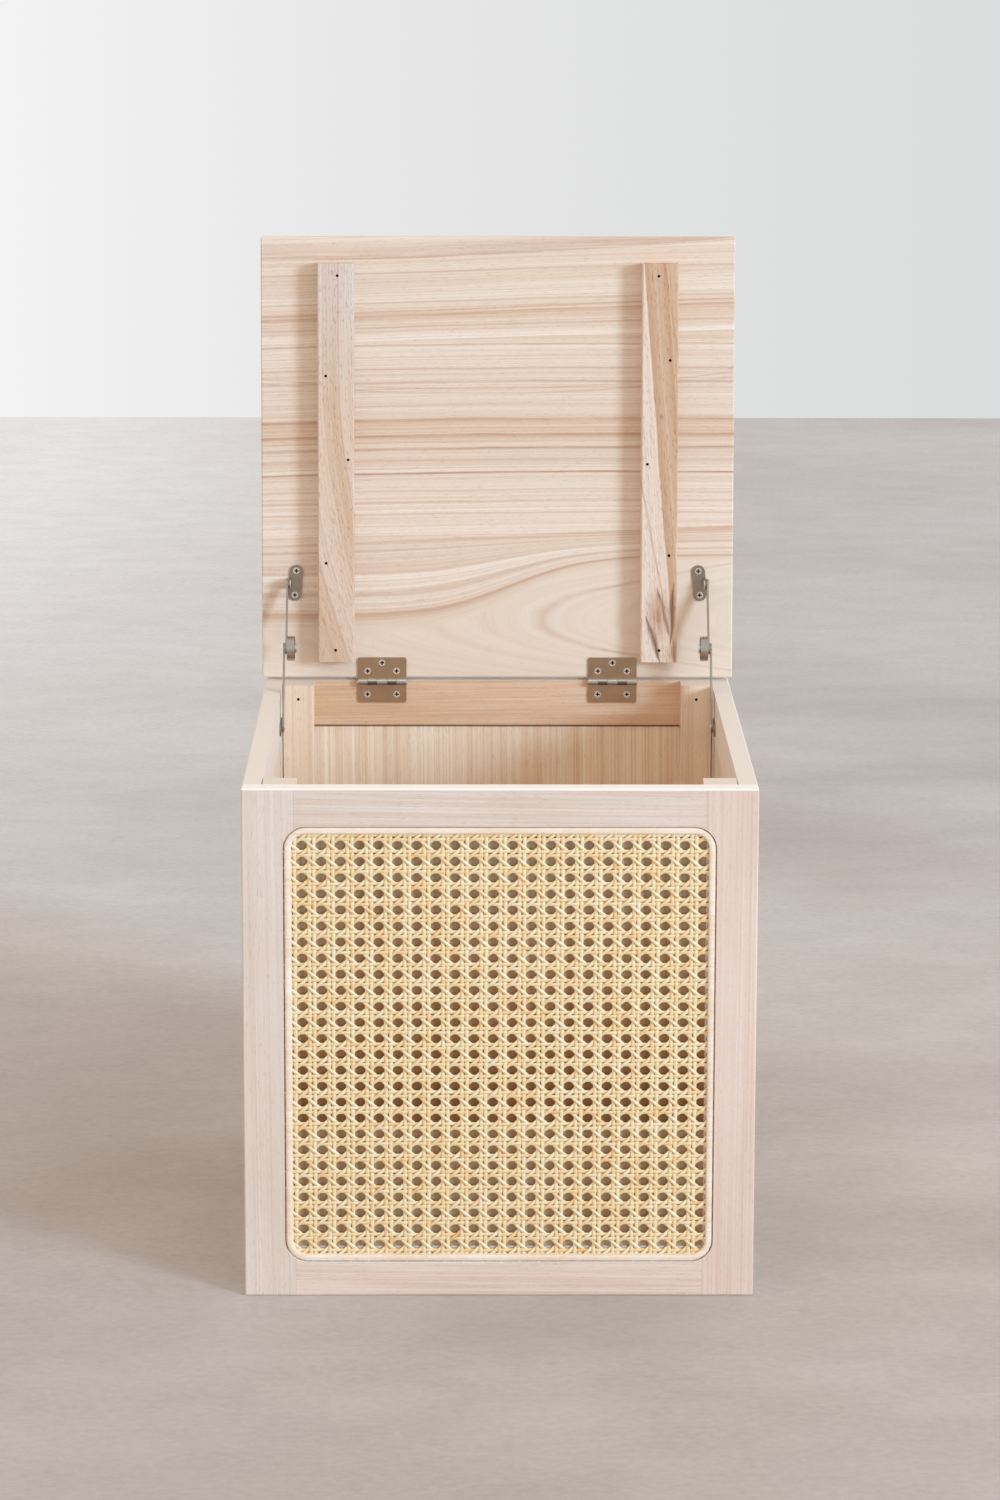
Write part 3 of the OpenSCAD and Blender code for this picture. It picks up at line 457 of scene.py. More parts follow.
def over_and_under(period, offset, first):
    """Height of a straight strand, up at one strand of each crossing pair and down at the other.

    With d the distance from the nearest crossing over offset, h = first * LIFT * d * exp((1 - d^2) / 2).
    """
    def height(t):
        d = ((t + period / 2) % period - period / 2) / offset
        return first * LIFT * d * np.exp((1 - d ** 2) / 2)
    return height


def slanting_wave(period, hand):
    """Height of a slanting strand: hand * SLANT_LIFT * cos(2 pi t / period)."""
    return lambda t: hand * SLANT_LIFT * np.cos(2 * np.pi * t / period)


def straight_strands(a0, z0, beside, above):
    """Lines, directions, steps, widths and heights of the pairs up and down and across.

    There are beside pairs on each side of a0 and above pairs over z0; those that miss the window go later.
    """
    for i in range(-beside, beside + 1):
        for hand in (-1, 1):
            yield ((a0 + i * PITCH_X + hand * PAIR_X, z0), (0, 1), PITCH_Z / STEPS, UPRIGHT_W,
                   over_and_under(PITCH_Z, PAIR_Z, -hand))
    for j in range(above + 1):
        for hand in (-1, 1):
            yield ((a0, z0 + j * PITCH_Z + hand * PAIR_Z), (1, 0), PITCH_X / STEPS, LEVEL_W,
                   over_and_under(PITCH_X, PAIR_X, hand))


def slanting_strands(a0, z0, beside, above):
    """The same for the two slanting sets, which cross half-way between the openings."""
    length = math.hypot(PITCH_X, PITCH_Z)
    for hand in (-1, 1):
        way = (PITCH_X / length, hand * PITCH_Z / length)
        for k in range(-beside - above, beside + above):
            yield (a0 + (k + 0.5) * PITCH_X, z0), way, length / STEPS, SLANT_W, slanting_wave(length, hand)


def rattan_skin():
    """Split rattan skin: glossy, cream to straw, with orange and greenish patches and fine fibres."""
    finish, tree, shader = material("split_rattan_skin")
    own = add(tree, "Attribute", attribute_name="strand", out="Fac")
    along = add(tree, "Attribute", attribute_name="along", out="Fac")
    place = add(tree, "CombineXYZ", {0: along, 1: own})
    colour = add(tree, "ValToRGB", {0: streaks(tree, place, 36, 1, 0.0, 3.0, 0.6)},
                 stops=[(0.30, "#fff0cc"), (0.48, "#ffe7b9"), (0.62, "#ffd8a0"), (0.77, "#f4b369")])
    green = add(tree, "ValToRGB", {0: streaks(tree, place, 110, 0.33, 7.0)},
                stops=[(0.55, 0.0), (0.75, 0.45)])
    colour = add(tree, "Mix", {0: green, 6: colour, 7: "#f3e5b0"}, data_type="RGBA", out=2)
    fibre = streaks(tree, millimetres(tree), 0.7, 0.7, 0.0, 3.0, 0.6)
    shade = add(tree, "ValToRGB", {0: fibre}, stops=[(0.3, "#e2caa4"), (0.6, "#ffffff")])
    colour = add(tree, "Mix", {0: 0.4, 6: colour, 7: shade}, data_type="RGBA", blend_type="MULTIPLY", out=2)
    # The sides darken to a deep brown: partly the cut edge of the skin, partly painted shade in the narrow
    # gaps of the weave.
    cut = add(tree, "Attribute", attribute_name="cut", out="Fac")
    colour = add(tree, "Mix", {0: cut, 6: colour, 7: "#5c3a1c"}, data_type="RGBA", out=2)
    wire(shader, {"Base Color": colour, "Roughness": 0.3, "Specular IOR Level": 1.0})
    return finish


skin = rattan_skin()
for side in ("front", "left", "right"):
    half, low, high = window_box(side)
    a0 = HOLE_SHIFT if side == "front" else 0.0
    z0 = HOLE_BOTTOM - PITCH_Z / 2
    grid = a0, z0, math.ceil(half / PITCH_X) + 1, math.ceil((high - z0) / PITCH_Z)
    for kind, lines in (("straight", straight_strands(*grid)), ("slanting", slanting_strands(*grid))):
        strands = []
        for origin, way, step, width, height in lines:
            span = reach_in_window(origin, way, half, low, high)
            if span[1] - span[0] > PITCH_Z / 2:
                strands.append(strand(origin, way, span, step, width, height))
        first = np.cumsum([0] + [len(s[0]) for s in strands[:-1]])
        points = to_side(side, np.concatenate([s[0] for s in strands]))
        faces = np.concatenate([s[1] + n for s, n in zip(strands, first)])
        webbing = mesh_piece(f"{side}_cane_{kind}_strands", points, faces, skin)
        number = np.repeat(chance.uniform(0, 400, len(strands)), [len(s[0]) for s in strands])
        along, cut = (np.concatenate([s[i] for s in strands]) for i in (2, 3))
        for label, values in (("along", along), ("strand", number), ("cut", cut)):
            store = webbing.data.attributes.new(label, "FLOAT", "POINT")
            store.data.foreach_set("value", values.astype(np.float32))
        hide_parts(side + "_cane")
        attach(webbing, "box")

# Beads: one half-round strip of pale wood, steamed and bent round each window, pressed over the cane's edge.
# A thin dark gap is left between it and the wall of the window.
BEAD_OUTER_R = 17.2
BEAD_W = 5.3
BEAD_BACK = 4.0


def round_loop(half, low, high, radius, per_corner=14):
    """A rectangle with round corners as a closed loop of points, with the outward direction at each."""
    turn = np.linspace(0, np.pi / 2, per_corner)
    angle = np.concatenate([turn + k * np.pi / 2 for k in range(4)])
    centres = np.array([(half - radius, high - radius), (radius - half, high - radius),
                        (radius - half, low + radius), (half - radius, low + radius)])
    way = np.stack([np.cos(angle), np.sin(angle)], -1)
    return np.repeat(centres, per_corner, 0) + way * radius, way


def half_round(width, height, count=11):
    """Section of a bead: across = w/2 * cos^0.7, height = base + rise * sin^0.8, with a flat back."""
    turn = np.linspace(0, np.pi, count)
    cos = np.cos(turn)
    across = width / 2 * np.sign(cos) * np.abs(cos) ** 0.7
    base = 0.45 * height
    up = base + (height - base) * np.sin(turn) ** 0.8
    return np.concatenate([np.stack([across, up], -1), [(-width / 2, 0), (width / 2, 0)]])


def steamed_strip():
    """Pale bent strip: cream, with fine short fibres, a little glossy where it was rubbed down."""
    finish, tree, shader = material("steamed_bead_wood")
    place = millimetres(tree)
    cloud = streaks(tree, place, 40, 40, 2.0)
    colour = add(tree, "ValToRGB", {0: cloud}, stops=[(0.35, "#fdf1e2"), (0.65, "#f6e2cb")])
    colour, height = planed(tree, place, colour, 8.0, 0.5)
    matt_wood(tree, shader, colour, height, 0.45, 0.1)
    return finish


strip = steamed_strip()
for side in ("front", "left", "right"):
    low, high = (corner * 1000 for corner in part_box(side + "_bead"))
    run = 0 if side == "front" else 1
    half = (high[run] - low[run]) / 2
    thick = high[1 - run] - low[1 - run]
    loop, way = round_loop(half - BEAD_W / 2, low[2] + BEAD_W / 2, high[2] - BEAD_W / 2,
                           BEAD_OUTER_R - BEAD_W / 2)
    rings = np.stack([np.stack([loop[:, 0] + way[:, 0] * s, np.full(len(loop), BEAD_BACK - h),
                                loop[:, 1] + way[:, 1] * s], -1) for s, h in half_round(BEAD_W, thick)], 1)
    index = np.arange(rings.shape[0] * rings.shape[1]).reshape(rings.shape[:2])
    next_ring = np.roll(index, -1, 0)
    faces = np.stack([index, next_ring, np.roll(next_ring, -1, 1), np.roll(index, -1, 1)], -1).reshape(-1, 4)
    bead = mesh_piece(side + "_bead_strip", to_side(side, rings.reshape(-1, 3)), faces, strip)
    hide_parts(side + "_bead")
    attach(bead, "box")

# Lid: three planks of paulownia, glued edge to edge and planed, with a clear matt lacquer.
# The front and middle planks are cut beside the pith, so their lines run straight; the rear one shows arches.
hinge_low, hinge_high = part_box("hinge_pins")
HINGE = (hinge_low + hinge_high) * 500
LID_LEAN = 3.5
LINES_PER_RAMP = 10
WHITE, CREAM, PALE, SAND = "#f8eee3", "#f2e3d4", "#edddcc", "#e5ceb8"
ROSE, TAN, BROWN, GLINT = "#e9d6c4", "#d9b391", "#b98766", "#fffcf7"


def lid_place(tree):
    """Lid axes in millimetres: x along the pin, u up the open lid from the pin, and depth into the planks."""
    local = add(tree, "Mapping", {"Vector": millimetres(tree), "Location": HINGE,
                                  "Rotation": (-math.radians(LID_LEAN), 0, 0)}, vector_type="TEXTURE")
    return [add(tree, "SeparateXYZ", {0: local}, out=axis) for axis in ("X", "Z", "Y")]


def bent(tree, along, across, slope, bow):
    """Distance across sloping, bowed lines: across - slope * along - bow * along^2."""
    lean = add(tree, "Math", {0: along, 1: bow, 2: slope}, operation="MULTIPLY_ADD")
    drop = add(tree, "Math", {0: along, 1: lean}, operation="MULTIPLY")
    return add(tree, "Math", {0: across, 1: drop}, operation="SUBTRACT")


def late_wood(tree, at, lines, fade=0.4):
    """Darkness of late wood: each (place, width, darkness) line rises over width, falls over fade * width.

    A ramp has room for LINES_PER_RAMP lines, so longer lists take several.
    """
    dark = 0.0
    for part in (lines[first:first + LINES_PER_RAMP] for first in range(0, len(lines), LINES_PER_RAMP)):
        low = part[0][0] - part[0][1] - 1
        high = part[-1][0] + part[-1][1] * fade + 1
        edges = [edge for middle, width, strength in part
                 for edge in ((middle - width, 0.0), (middle, strength), (middle + fade * width, 0.0))]
        stops = [(0.0, 0.0)] + [((place - low) / (high - low), level) for place, level in edges]
        share = add(tree, "MapRange", {"Value": at, "From Min": low, "From Max": high})
        level = add(tree, "ValToRGB", {0: share}, stops=stops)
        dark = add(tree, "Math", {0: dark, 1: level}, operation="MAXIMUM")
    return dark


def ground_tone(tree, at, tones):
    """Colour between the lines, from (place, colour) pairs."""
    low, high = tones[0][0], tones[-1][0]
    return add(tree, "ValToRGB", {0: add(tree, "MapRange", {"Value": at, "From Min": low, "From Max": high})},
               stops=[((place - low) / (high - low), colour) for place, colour in tones])


def strays(tree, place, seed, slow, quick):
    """Slow drift and small wobble of a piece's lines, from -0.5 to 0.5; slow and quick are their sizes."""
    return [add(tree, "Math", {0: streaks(tree, place, *size, own_seed), 1: 0.5}, operation="SUBTRACT")
            for size, own_seed in ((slow, seed), (quick, seed + 3))]


def plank_ways(tree, seed):
    """Lid axes and strays of a plank: x, u, depth, drift and wobble."""
    x, u, depth = lid_place(tree)
    raw = add(tree, "CombineXYZ", {0: x, 1: u, 2: depth})
    return x, u, depth, *strays(tree, raw, seed, (420, 90), (60, 14))


def shaken(tree, across, drift, wobble, most_drift, most_wobble):
    """Adds drift and wobble, each times its own number of millimetres, to a distance across the grain."""
    across = add(tree, "Math", {0: drift, 1: most_drift, 2: across}, operation="MULTIPLY_ADD")
    return add(tree, "Math", {0: wobble, 1: most_wobble, 2: across}, operation="MULTIPLY_ADD")


def lacquered(tree, place, colour, dark, seed, strength=0.65, flecked=0.6, calm=0.0):
    """Finishes a lid piece: its dark lines break up, and planed grain is added, less of it where calm."""
    broken = add(tree, "ValToRGB", {0: streaks(tree, place, 60, 2.0, seed + 7)},
                 stops=[(0.36, 0.6), (0.54, 1.12)])
    dark = add(tree, "Math", {0: dark, 1: broken}, operation="MULTIPLY")
    plain = add(tree, "Mix", {0: dark, 6: colour, 7: BROWN}, data_type="RGBA", out=2)
    colour, height = planed(tree, place, plain, seed + 9, strength, flecked)
    colour = add(tree, "Mix", {0: calm, 6: colour, 7: plain}, data_type="RGBA", out=2)
    matt_wood(tree, tree.nodes["Principled BSDF"], colour, height, 0.52)


def straight_plank(node, slope, bow, tones, groups, seed):
    """Finish of a plank sawn beside the pith: tones and lines lie across the grain, bent as the tree grew.

    groups is (slope, bow, fade, lines) for each set of lines that run alike.
    """
    finish, tree, _ = material(node + "_paulownia")
    x, u, depth, drift, wobble = plank_ways(tree, seed)
    v = shaken(tree, bent(tree, x, u, slope, bow), drift, wobble, 5.0, 0.8)
    place = add(tree, "CombineXYZ", {0: x, 1: v, 2: depth})
    dark = 0.0
    for lean, curve, fade, lines in groups:
        at = shaken(tree, bent(tree, x, u, lean, curve), drift, wobble, 5.0, 1.4)
        dark = add(tree, "Math", {0: dark, 1: late_wood(tree, at, lines, fade)}, operation="MAXIMUM")
    lacquered(tree, place, ground_tone(tree, v, tones), dark, seed)
    dress(node, finish)


straight_plank("lid_front_plank", 0.031, 0.0,
               ((285, GLINT), (287.4, GLINT), (288.6, WHITE), (299, WHITE), (304, CREAM), (309, ROSE),
                (322, SAND), (330, ROSE), (333, PALE), (380, PALE)),
               ((0.041, 0.0, 0.5, ((321.0, 2, 0.42), (324.5, 1.6, 0.45))),
                (0.030, -0.00003, 0.5,
                 ((310.7, 2, 0.3), (316, 1.2, 0.14), (331.8, 1.5, 0.26), (341.5, 1.2, 0.1),
                  (347.4, 1.5, 0.18), (357.3, 1.5, 0.32), (363, 1.2, 0.1))),
                (0.049, 0.00012, 16.0, ((370.6, 1.0, 0.42),)),
                (0.045, 0.00010, 1.0, ((370.4, 0.8, 0.36), (376.5, 1.0, 0.34))),
                (0.060, 0.0, 0.6, ((346.8, 1.4, 0.16),))), 3.0)
straight_plank("lid_middle_plank", 0.014, -0.00004,
               ((118, PALE), (142, CREAM), (160, CREAM), (166, PALE), (178, ROSE), (181, PALE), (192, PALE),
                (200, ROSE), (216, SAND), (226, SAND), (231, ROSE), (244, PALE), (250, ROSE), (256, ROSE),
                (267, PALE), (270, PALE), (280, CREAM), (286, PALE), (295, PALE), (310, SAND)),
               ((0.014, -0.00004, 0.5,
                 ((138.3, 1.2, 0.12), (148, 2, 0.22), (158.2, 2, 0.24), (168, 1.5, 0.14), (182.6, 1.8, 0.8),
                  (187, 1.2, 0.14), (193.2, 1.5, 0.3), (204, 2.6, 0.66), (210, 1.2, 0.2), (215.3, 2.6, 0.62),
                  (228.7, 2.6, 0.6), (236, 1.2, 0.1), (261.3, 2.0, 0.46), (272.7, 1.5, 0.4), (281, 1.2, 0.14),
                  (293.2, 1.8, 0.42))),
                (0.018, 0.0003, 0.6, ((250.5, 1.5, 0.3), (254.5, 1.4, 0.28))),
                (0.037, -0.00002, 0.6, ((242.5, 1.2, 0.12),))), 14.0)

# The rear plank was cut through the rings at a slant. Its lines fan out from the right and rise over an arch.
# The fan lies between u = FAN_LOW + FAN_RISE tanh((x - FAN_MIDDLE) / FAN_RUN) and u = FAN_HIGH + FAN_SLOPE x,
# the glue line. A strip of tan wood lies at the plank's right end, above the arch.
FAN_LOW, FAN_RISE, FAN_MIDDLE, FAN_RUN = 84.0, 27.0, 12.0, 70.0
FAN_HIGH, FAN_SLOPE, FAN_SPREAD = 125.0, 0.03, 45.0
ARCH_MIDDLE, ARCH_FOCUS = 57.0, 14.0
ARCH_START, ARCH_FULL = 85.0, 72.0
TAN_START, TAN_FULL = 142.0, 160.0
TAN_BANDS = ((124, 6, 0.4), (136, 6, 0.6))


def arched_plank(node, tones, lines, arches, seed):
    """Finish of the rear plank: fan lines above, q = x - (u - ARCH_MIDDLE)^2 / ARCH_FOCUS below."""
    finish, tree, _ = material(node + "_paulownia")
    x, u, depth, drift, wobble = plank_ways(tree, seed)
    run = add(tree, "Math", {0: x, 1: FAN_MIDDLE}, operation="SUBTRACT")
    run = add(tree, "Math", {0: run, 1: FAN_RUN}, operation="DIVIDE")
    low = add(tree, "Math", {0: add(tree, "Math", {0: run}, operation="TANH"), 1: FAN_RISE, 2: FAN_LOW},
              operation="MULTIPLY_ADD")
    high = add(tree, "Math", {0: x, 1: FAN_SLOPE, 2: FAN_HIGH}, operation="MULTIPLY_ADD")
    fan = add(tree, "MapRange", {"Value": u, "From Min": low, "From Max": high, "To Min": FAN_LOW,
                                 "To Max": FAN_LOW + FAN_SPREAD}, clamp=False)
    fan = shaken(tree, fan, drift, wobble, 6.0, 1.2)
    off = add(tree, "Math", {0: u, 1: ARCH_MIDDLE}, operation="SUBTRACT")
    off = add(tree, "Math", {0: off, 1: off}, operation="MULTIPLY")
    q = add(tree, "Math", {0: off, 1: -1 / ARCH_FOCUS, 2: x}, operation="MULTIPLY_ADD")
    q = shaken(tree, q, drift, wobble, 60.0, 8.0)
    below = add(tree, "MapRange", {"Value": fan, "From Min": ARCH_START, "From Max": ARCH_FULL})
    along_arch = add(tree, "Math", {0: q, 1: -0.1}, operation="MULTIPLY")
    v = add(tree, "Mix", {0: below, 2: fan, 3: along_arch})
    place = add(tree, "CombineXYZ", {0: x, 1: v, 2: depth})
    inner = add(tree, "Math", {0: late_wood(tree, q, arches, 1.2), 1: below}, operation="MULTIPLY")
    dark = add(tree, "Math", {0: inner, 1: late_wood(tree, fan, lines, 0.5)}, operation="MAXIMUM")
    colour = ground_tone(tree, fan, tones)
    edge = add(tree, "MapRange", {"Value": x, "From Min": TAN_START, "From Max": TAN_FULL})
    edge = add(tree, "Math", {0: edge, 1: late_wood(tree, u, TAN_BANDS, 0.2)}, operation="MULTIPLY")
    colour = add(tree, "Mix", {0: edge, 6: colour, 7: TAN}, data_type="RGBA", out=2)
    calm = add(tree, "Math", {0: below, 1: 0.65}, operation="MULTIPLY")
    lacquered(tree, place, colour, dark, seed, calm=calm)
    dress(node, finish)


arched_plank("lid_rear_plank",
             ((20, PALE), (78, PALE), (84, SAND), (90, CREAM), (98, PALE), (106, CREAM), (108.5, WHITE),
              (109.5, ROSE), (118, PALE), (126, ROSE), (134, SAND)),
             ((78, 3, 0.12), (84.5, 5, 0.40), (91, 2, 0.18), (98.5, 4, 0.32), (104, 1.2, 0.1),
              (114, 1.5, 0.2), (119, 1.5, 0.2), (124, 1.5, 0.3), (129, 1.5, 0.34)),
             ((-200, 24, 0.1), (-120, 20, 0.08), (-60, 20, 0.08), (0, 12, 0.06), (45, 9, 0.40), (66, 6, 0.08),
              (110, 14, 0.08)), 25.0)

# Battens: two sticks across the planks that keep the lid flat, nailed with five brads each.
# They are cut askew, so their streaks slant across the face; the right one has a knot near its lower end.
BATTEN_CREAM, BATTEN_PALE, BATTEN_SAND = "#eddccd", "#e5d0be", "#dcc0a6"
BATTEN_GREY, BATTEN_TAN, STROKE = "#dfd2c8", "#cba380", "#6d4a2e"
KNOT_R = 14.0


def slanted(tree, x, u, drift, wobble, slope, bow, centre):
    """Distance across the grain: x - slope * s - bow * s^2, s = centre - u; a bow starts at the centre."""
    s = add(tree, "Math", {0: centre, 1: u}, operation="SUBTRACT")
    if bow:
        s = add(tree, "Math", {0: s, 1: 0.0}, operation="MAXIMUM")
    return shaken(tree, bent(tree, s, x, slope, bow), drift, wobble, 4.0, 0.8)


def dark_stroke(tree, place, start, end, width):
    """Share of a short dark stroke: 1 on the segment from start to end (u, x in mm), 0 at width beside it.

    The width tapers to both ends as 4 t (1 - t) + 0.15, with t the share of the way along the segment.
    """
    way = Vector((end[0] - start[0], end[1] - start[1], 0))
    off = add(tree, "VectorMath", {0: place, 1: (*start, 0)}, operation="SUBTRACT")
    t = add(tree, "VectorMath", {0: off, 1: way / way.length_squared}, operation="DOT_PRODUCT", out="Value")
    t = add(tree, "Math", {0: t, 1: 0.0}, operation="ADD", use_clamp=True)
    near = add(tree, "VectorMath", {0: way, "Scale": t}, operation="SCALE")
    away = add(tree, "VectorMath", {0: off, 1: near}, operation="DISTANCE", out="Value")
    rest = add(tree, "Math", {0: 1.0, 1: t}, operation="SUBTRACT")
    taper = add(tree, "Math", {0: add(tree, "Math", {0: t, 1: rest}, operation="MULTIPLY"), 1: 4.0, 2: 0.15},
                operation="MULTIPLY_ADD")
    away = add(tree, "Math", {0: away, 1: taper}, operation="DIVIDE")
    return add(tree, "MapRange", {"Value": away, "From Min": width, "From Max": 0.0})


def batten(node, tones, lines, seed, streak_ways, grey=None, knot=None, strokes=()):
    """Finish of a batten: tones lie across it and each streak leans or bows as the saw met it.

    lines is (slope, bow, centre, marks) and streak_ways the (slope, bow, centre) that the fine grain follows.
    From the first height of grey to the second the wood turns greyer. The knot and the strokes are places
    u, x on the lid.
    """
    finish, tree, _ = material(node + "_paulownia")
    x, u, depth = lid_place(tree)
    raw = add(tree, "CombineXYZ", {0: u, 1: x, 2: depth})
    drift, wobble = strays(tree, raw, seed, (120, 30), (24, 8))
    grain = slanted(tree, x, u, drift, wobble, *streak_ways)
    place = add(tree, "CombineXYZ", {0: u, 1: grain, 2: depth})
    colour = ground_tone(tree, grain, tones)
    if grey:
        high = add(tree, "MapRange", {"Value": u, "From Min": grey[0], "From Max": grey[1]})
        colour = add(tree, "Mix", {0: high, 6: colour, 7: BATTEN_GREY}, data_type="RGBA", out=2)
    dark = 0.0
    for slope, bow, centre, marks in lines:
        at = slanted(tree, x, u, drift, wobble, slope, bow, centre)
        dark = add(tree, "Math", {0: dark, 1: late_wood(tree, at, marks, 0.8)}, operation="MAXIMUM")
    if knot:
        off = add(tree, "VectorMath", {0: raw, 1: (*knot, 0)}, operation="SUBTRACT")
        off = add(tree, "VectorMath", {0: off, 1: (0.5, 1.0, 0.0)}, operation="MULTIPLY")
        away = add(tree, "VectorMath", {0: off}, operation="LENGTH", out="Value")
        spot = add(tree, "MapRange", {"Value": away, "From Min": KNOT_R, "From Max": 1.0, "To Max": 0.75})
        dark = add(tree, "Math", {0: dark, 1: spot}, operation="MAXIMUM")
    for start, end, width, strength in strokes:
        bowed = add(tree, "CombineXYZ", {0: u, 1: shaken(tree, x, drift, wobble, 14.0, 4.0)})
        colour = tinted(tree, colour, dark_stroke(tree, bowed, start, end, width), strength, STROKE)
    lacquered(tree, place, colour, dark, seed, 0.45, 1.5)
    dress(node, finish)


LEFT_BOW = (0.0, 0.000714, 281.0)
batten("lid_left_batten",
       ((-200, BATTEN_SAND), (-178, BATTEN_SAND), (-172, BATTEN_PALE), (-160, BATTEN_PALE),
        (-140, BATTEN_SAND), (-134, BATTEN_PALE), (-120, BATTEN_SAND)),
       ((*LEFT_BOW, ((-186, 1.5, 0.2), (-174.5, 2.2, 0.5), (-165, 1, 0.12), (-150, 1, 0.1), (-144, 1, 0.12),
                     (-136.3, 1.5, 0.5), (-131, 1, 0.12))),), 31.0, LEFT_BOW, grey=(240.0, 340.0))
batten("lid_right_batten",
       ((100, BATTEN_CREAM), (124, BATTEN_CREAM), (125.5, BATTEN_TAN), (134, BATTEN_SAND), (142, BATTEN_TAN),
        (150, BATTEN_SAND), (158, BATTEN_SAND)),
       ((0.08, 0.0, 359.5, ((125.2, 1, 0.3), (128.5, 1.2, 0.3), (132, 1, 0.2), (136, 1, 0.15))),
        (0.165, 0.0, 359.5, ((142.4, 1.6, 0.55), (145.5, 1.2, 0.25))),
        (0.19, 0.0, 157.0, ((118, 1.5, 0.15), (126.3, 1.4, 0.55)))),
       44.0, (0.08, 0.0, 359.5), knot=(60.0, 138.0),
       strokes=(((88.0, 149.8), (36.0, 149.2), 3.4, 0.95), ((60.0, 128.0), (20.0, 140.0), 3.2, 0.95),
                ((84.0, 136.0), (44.0, 147.0), 2.6, 0.8)))

# Hinges and stays: pressed mild steel with a satin plate; its brown tone, deeper in clouds, is a painted
# reflection of the wood. The knuckles are rolled, with a painted highlight above and below; the screw heads'
# pale tone is a painted highlight.
KNUCKLE_R = 3.2
# Painted highlight along the top and bottom of each knuckle.
KNUCKLE_HIGHLIGHT_START, KNUCKLE_HIGHLIGHT_FULL, KNUCKLE_HIGHLIGHT_TONE = 1.5, 2.3, "#fffaf2"
CROSS_L = 3.6
CROSS_W = 1.2
# The crosses of the screws are painted dark, as shade in their recesses.
CROSS_SHADE_TONE = "#1a140f"
# Painted reflection of the wood round the steel.
MIRRORED_WOOD = "#86715f"
LEAF_REACH = 160.0
APART = 6.0
END_DEPTH = 1.0


def driven_ends(node):
    """Head and tip of each screw or nail of a CAD node, in mm.

    They stand more than APART from each other in x and z, and each head is nearer the middle of the box than
    its tip. The end points are those within END_DEPTH of either end.
    """
    mesh = nodes[node].data
    points = np.empty(len(mesh.vertices) * 3)
    mesh.vertices.foreach_get("co", points)
    points = points.reshape(-1, 3) * 1000
    while len(points):
        own = np.hypot(*(points - points[0])[:, [0, 2]].T) < APART
        own &= (points[:, 1] > BODY_MIDDLE.y) == (points[0, 1] > BODY_MIDDLE.y)
        solid, points = points[own], points[~own]
        inward = np.abs(solid[:, 1] - BODY_MIDDLE.y)
        head, tip = inward < inward.min() + END_DEPTH, inward > inward.max() - END_DEPTH
        yield solid[head].mean(0), solid[tip].mean(0)


def cross_recesses(tree, place, heads):
    """Share of the cross in each screw head: min(|x|, |z|) < w / 2 and max(|x|, |z|) < l / 2 from its middle.

    The arms are drawn half as wide again as the real ones, which are too fine to show. The dark cross is
    painted shade in the recess.
    """
    crosses = 0.0
    for head in heads:
        off = add(tree, "VectorMath", {0: place, 1: tuple(head)}, operation="SUBTRACT")
        off = add(tree, "VectorMath", {0: off}, operation="ABSOLUTE")
        x, z = (add(tree, "SeparateXYZ", {0: off}, out=axis) for axis in ("X", "Z"))
        cross = 1.0
        for least_or_most, size in (("MINIMUM", CROSS_W), ("MAXIMUM", CROSS_L)):
            reach = add(tree, "Math", {0: x, 1: z}, operation=least_or_most)
            inside = add(tree, "Math", {0: reach, 1: size / 2}, operation="LESS_THAN")
            cross = add(tree, "Math", {0: cross, 1: inside}, operation="MULTIPLY")
        crosses = add(tree, "Math", {0: crosses, 1: cross}, operation="MAXIMUM")
    return crosses


def plated_steel(name, tone, roughness, brush, knuckles=None, heads=(), metallic=1.0):
    """Satin plated steel: brush is the length and width in mm of its fine scratches, along X.

    Knuckles have their own tone with a painted highlight above and below; screw heads get crosses painted
    dark, as shade in their recesses.
    """
    finish, tree, shader = material(name)
    place = millimetres(tree)
    scratch = streaks(tree, place, *brush, 1.0, 3.0, 0.6)
    cloud = streaks(tree, place, 20, 20, 2.0)
    # Painted reflection: clouds of the colour turn towards the brown of the wood that the steel mirrors.
    wood_reflection = add(tree, "ValToRGB", {0: cloud}, stops=[(0.35, 0.0), (0.7, 0.3)])
    colour = add(tree, "Mix", {0: wood_reflection, 6: tone, 7: MIRRORED_WOOD}, data_type="RGBA", out=2)
    if knuckles:
        off = add(tree, "VectorMath", {0: place, 1: HINGE}, operation="SUBTRACT")
        off = add(tree, "VectorMath", {0: off, 1: (0, 1, 1)}, operation="MULTIPLY")
        away = add(tree, "VectorMath", {0: off}, operation="LENGTH", out="Value")
        rolled = add(tree, "Math", {0: away, 1: KNUCKLE_R}, operation="LESS_THAN")
        height = add(tree, "Math", {0: add(tree, "SeparateXYZ", {0: off}, out="Z")}, operation="ABSOLUTE")
        # painted highlight above and below the pin
        highlighted = add(tree, "MapRange", {"Value": height, "From Min": KNUCKLE_HIGHLIGHT_START, "From Max": KNUCKLE_HIGHLIGHT_FULL})
        rolled_tone = add(tree, "Mix", {0: highlighted, 6: knuckles, 7: KNUCKLE_HIGHLIGHT_TONE}, data_type="RGBA", out=2)
        colour = add(tree, "Mix", {0: rolled, 6: colour, 7: rolled_tone}, data_type="RGBA", out=2)
    if heads:
        # painted shade in the cross recesses
        crosses = cross_recesses(tree, place, heads)
        colour = add(tree, "Mix", {0: crosses, 6: colour, 7: CROSS_SHADE_TONE}, data_type="RGBA", out=2)
    rough = add(tree, "ValToRGB", {0: scratch}, stops=[(0.3, roughness - 0.06), (0.7, roughness + 0.08)])
    bump = add(tree, "Bump", {"Height": scratch, "Strength": 0.12, "Distance": 0.0001})
    wire(shader, {"Base Color": colour, "Roughness": rough, "Metallic": metallic, "Normal": bump})
    return finish


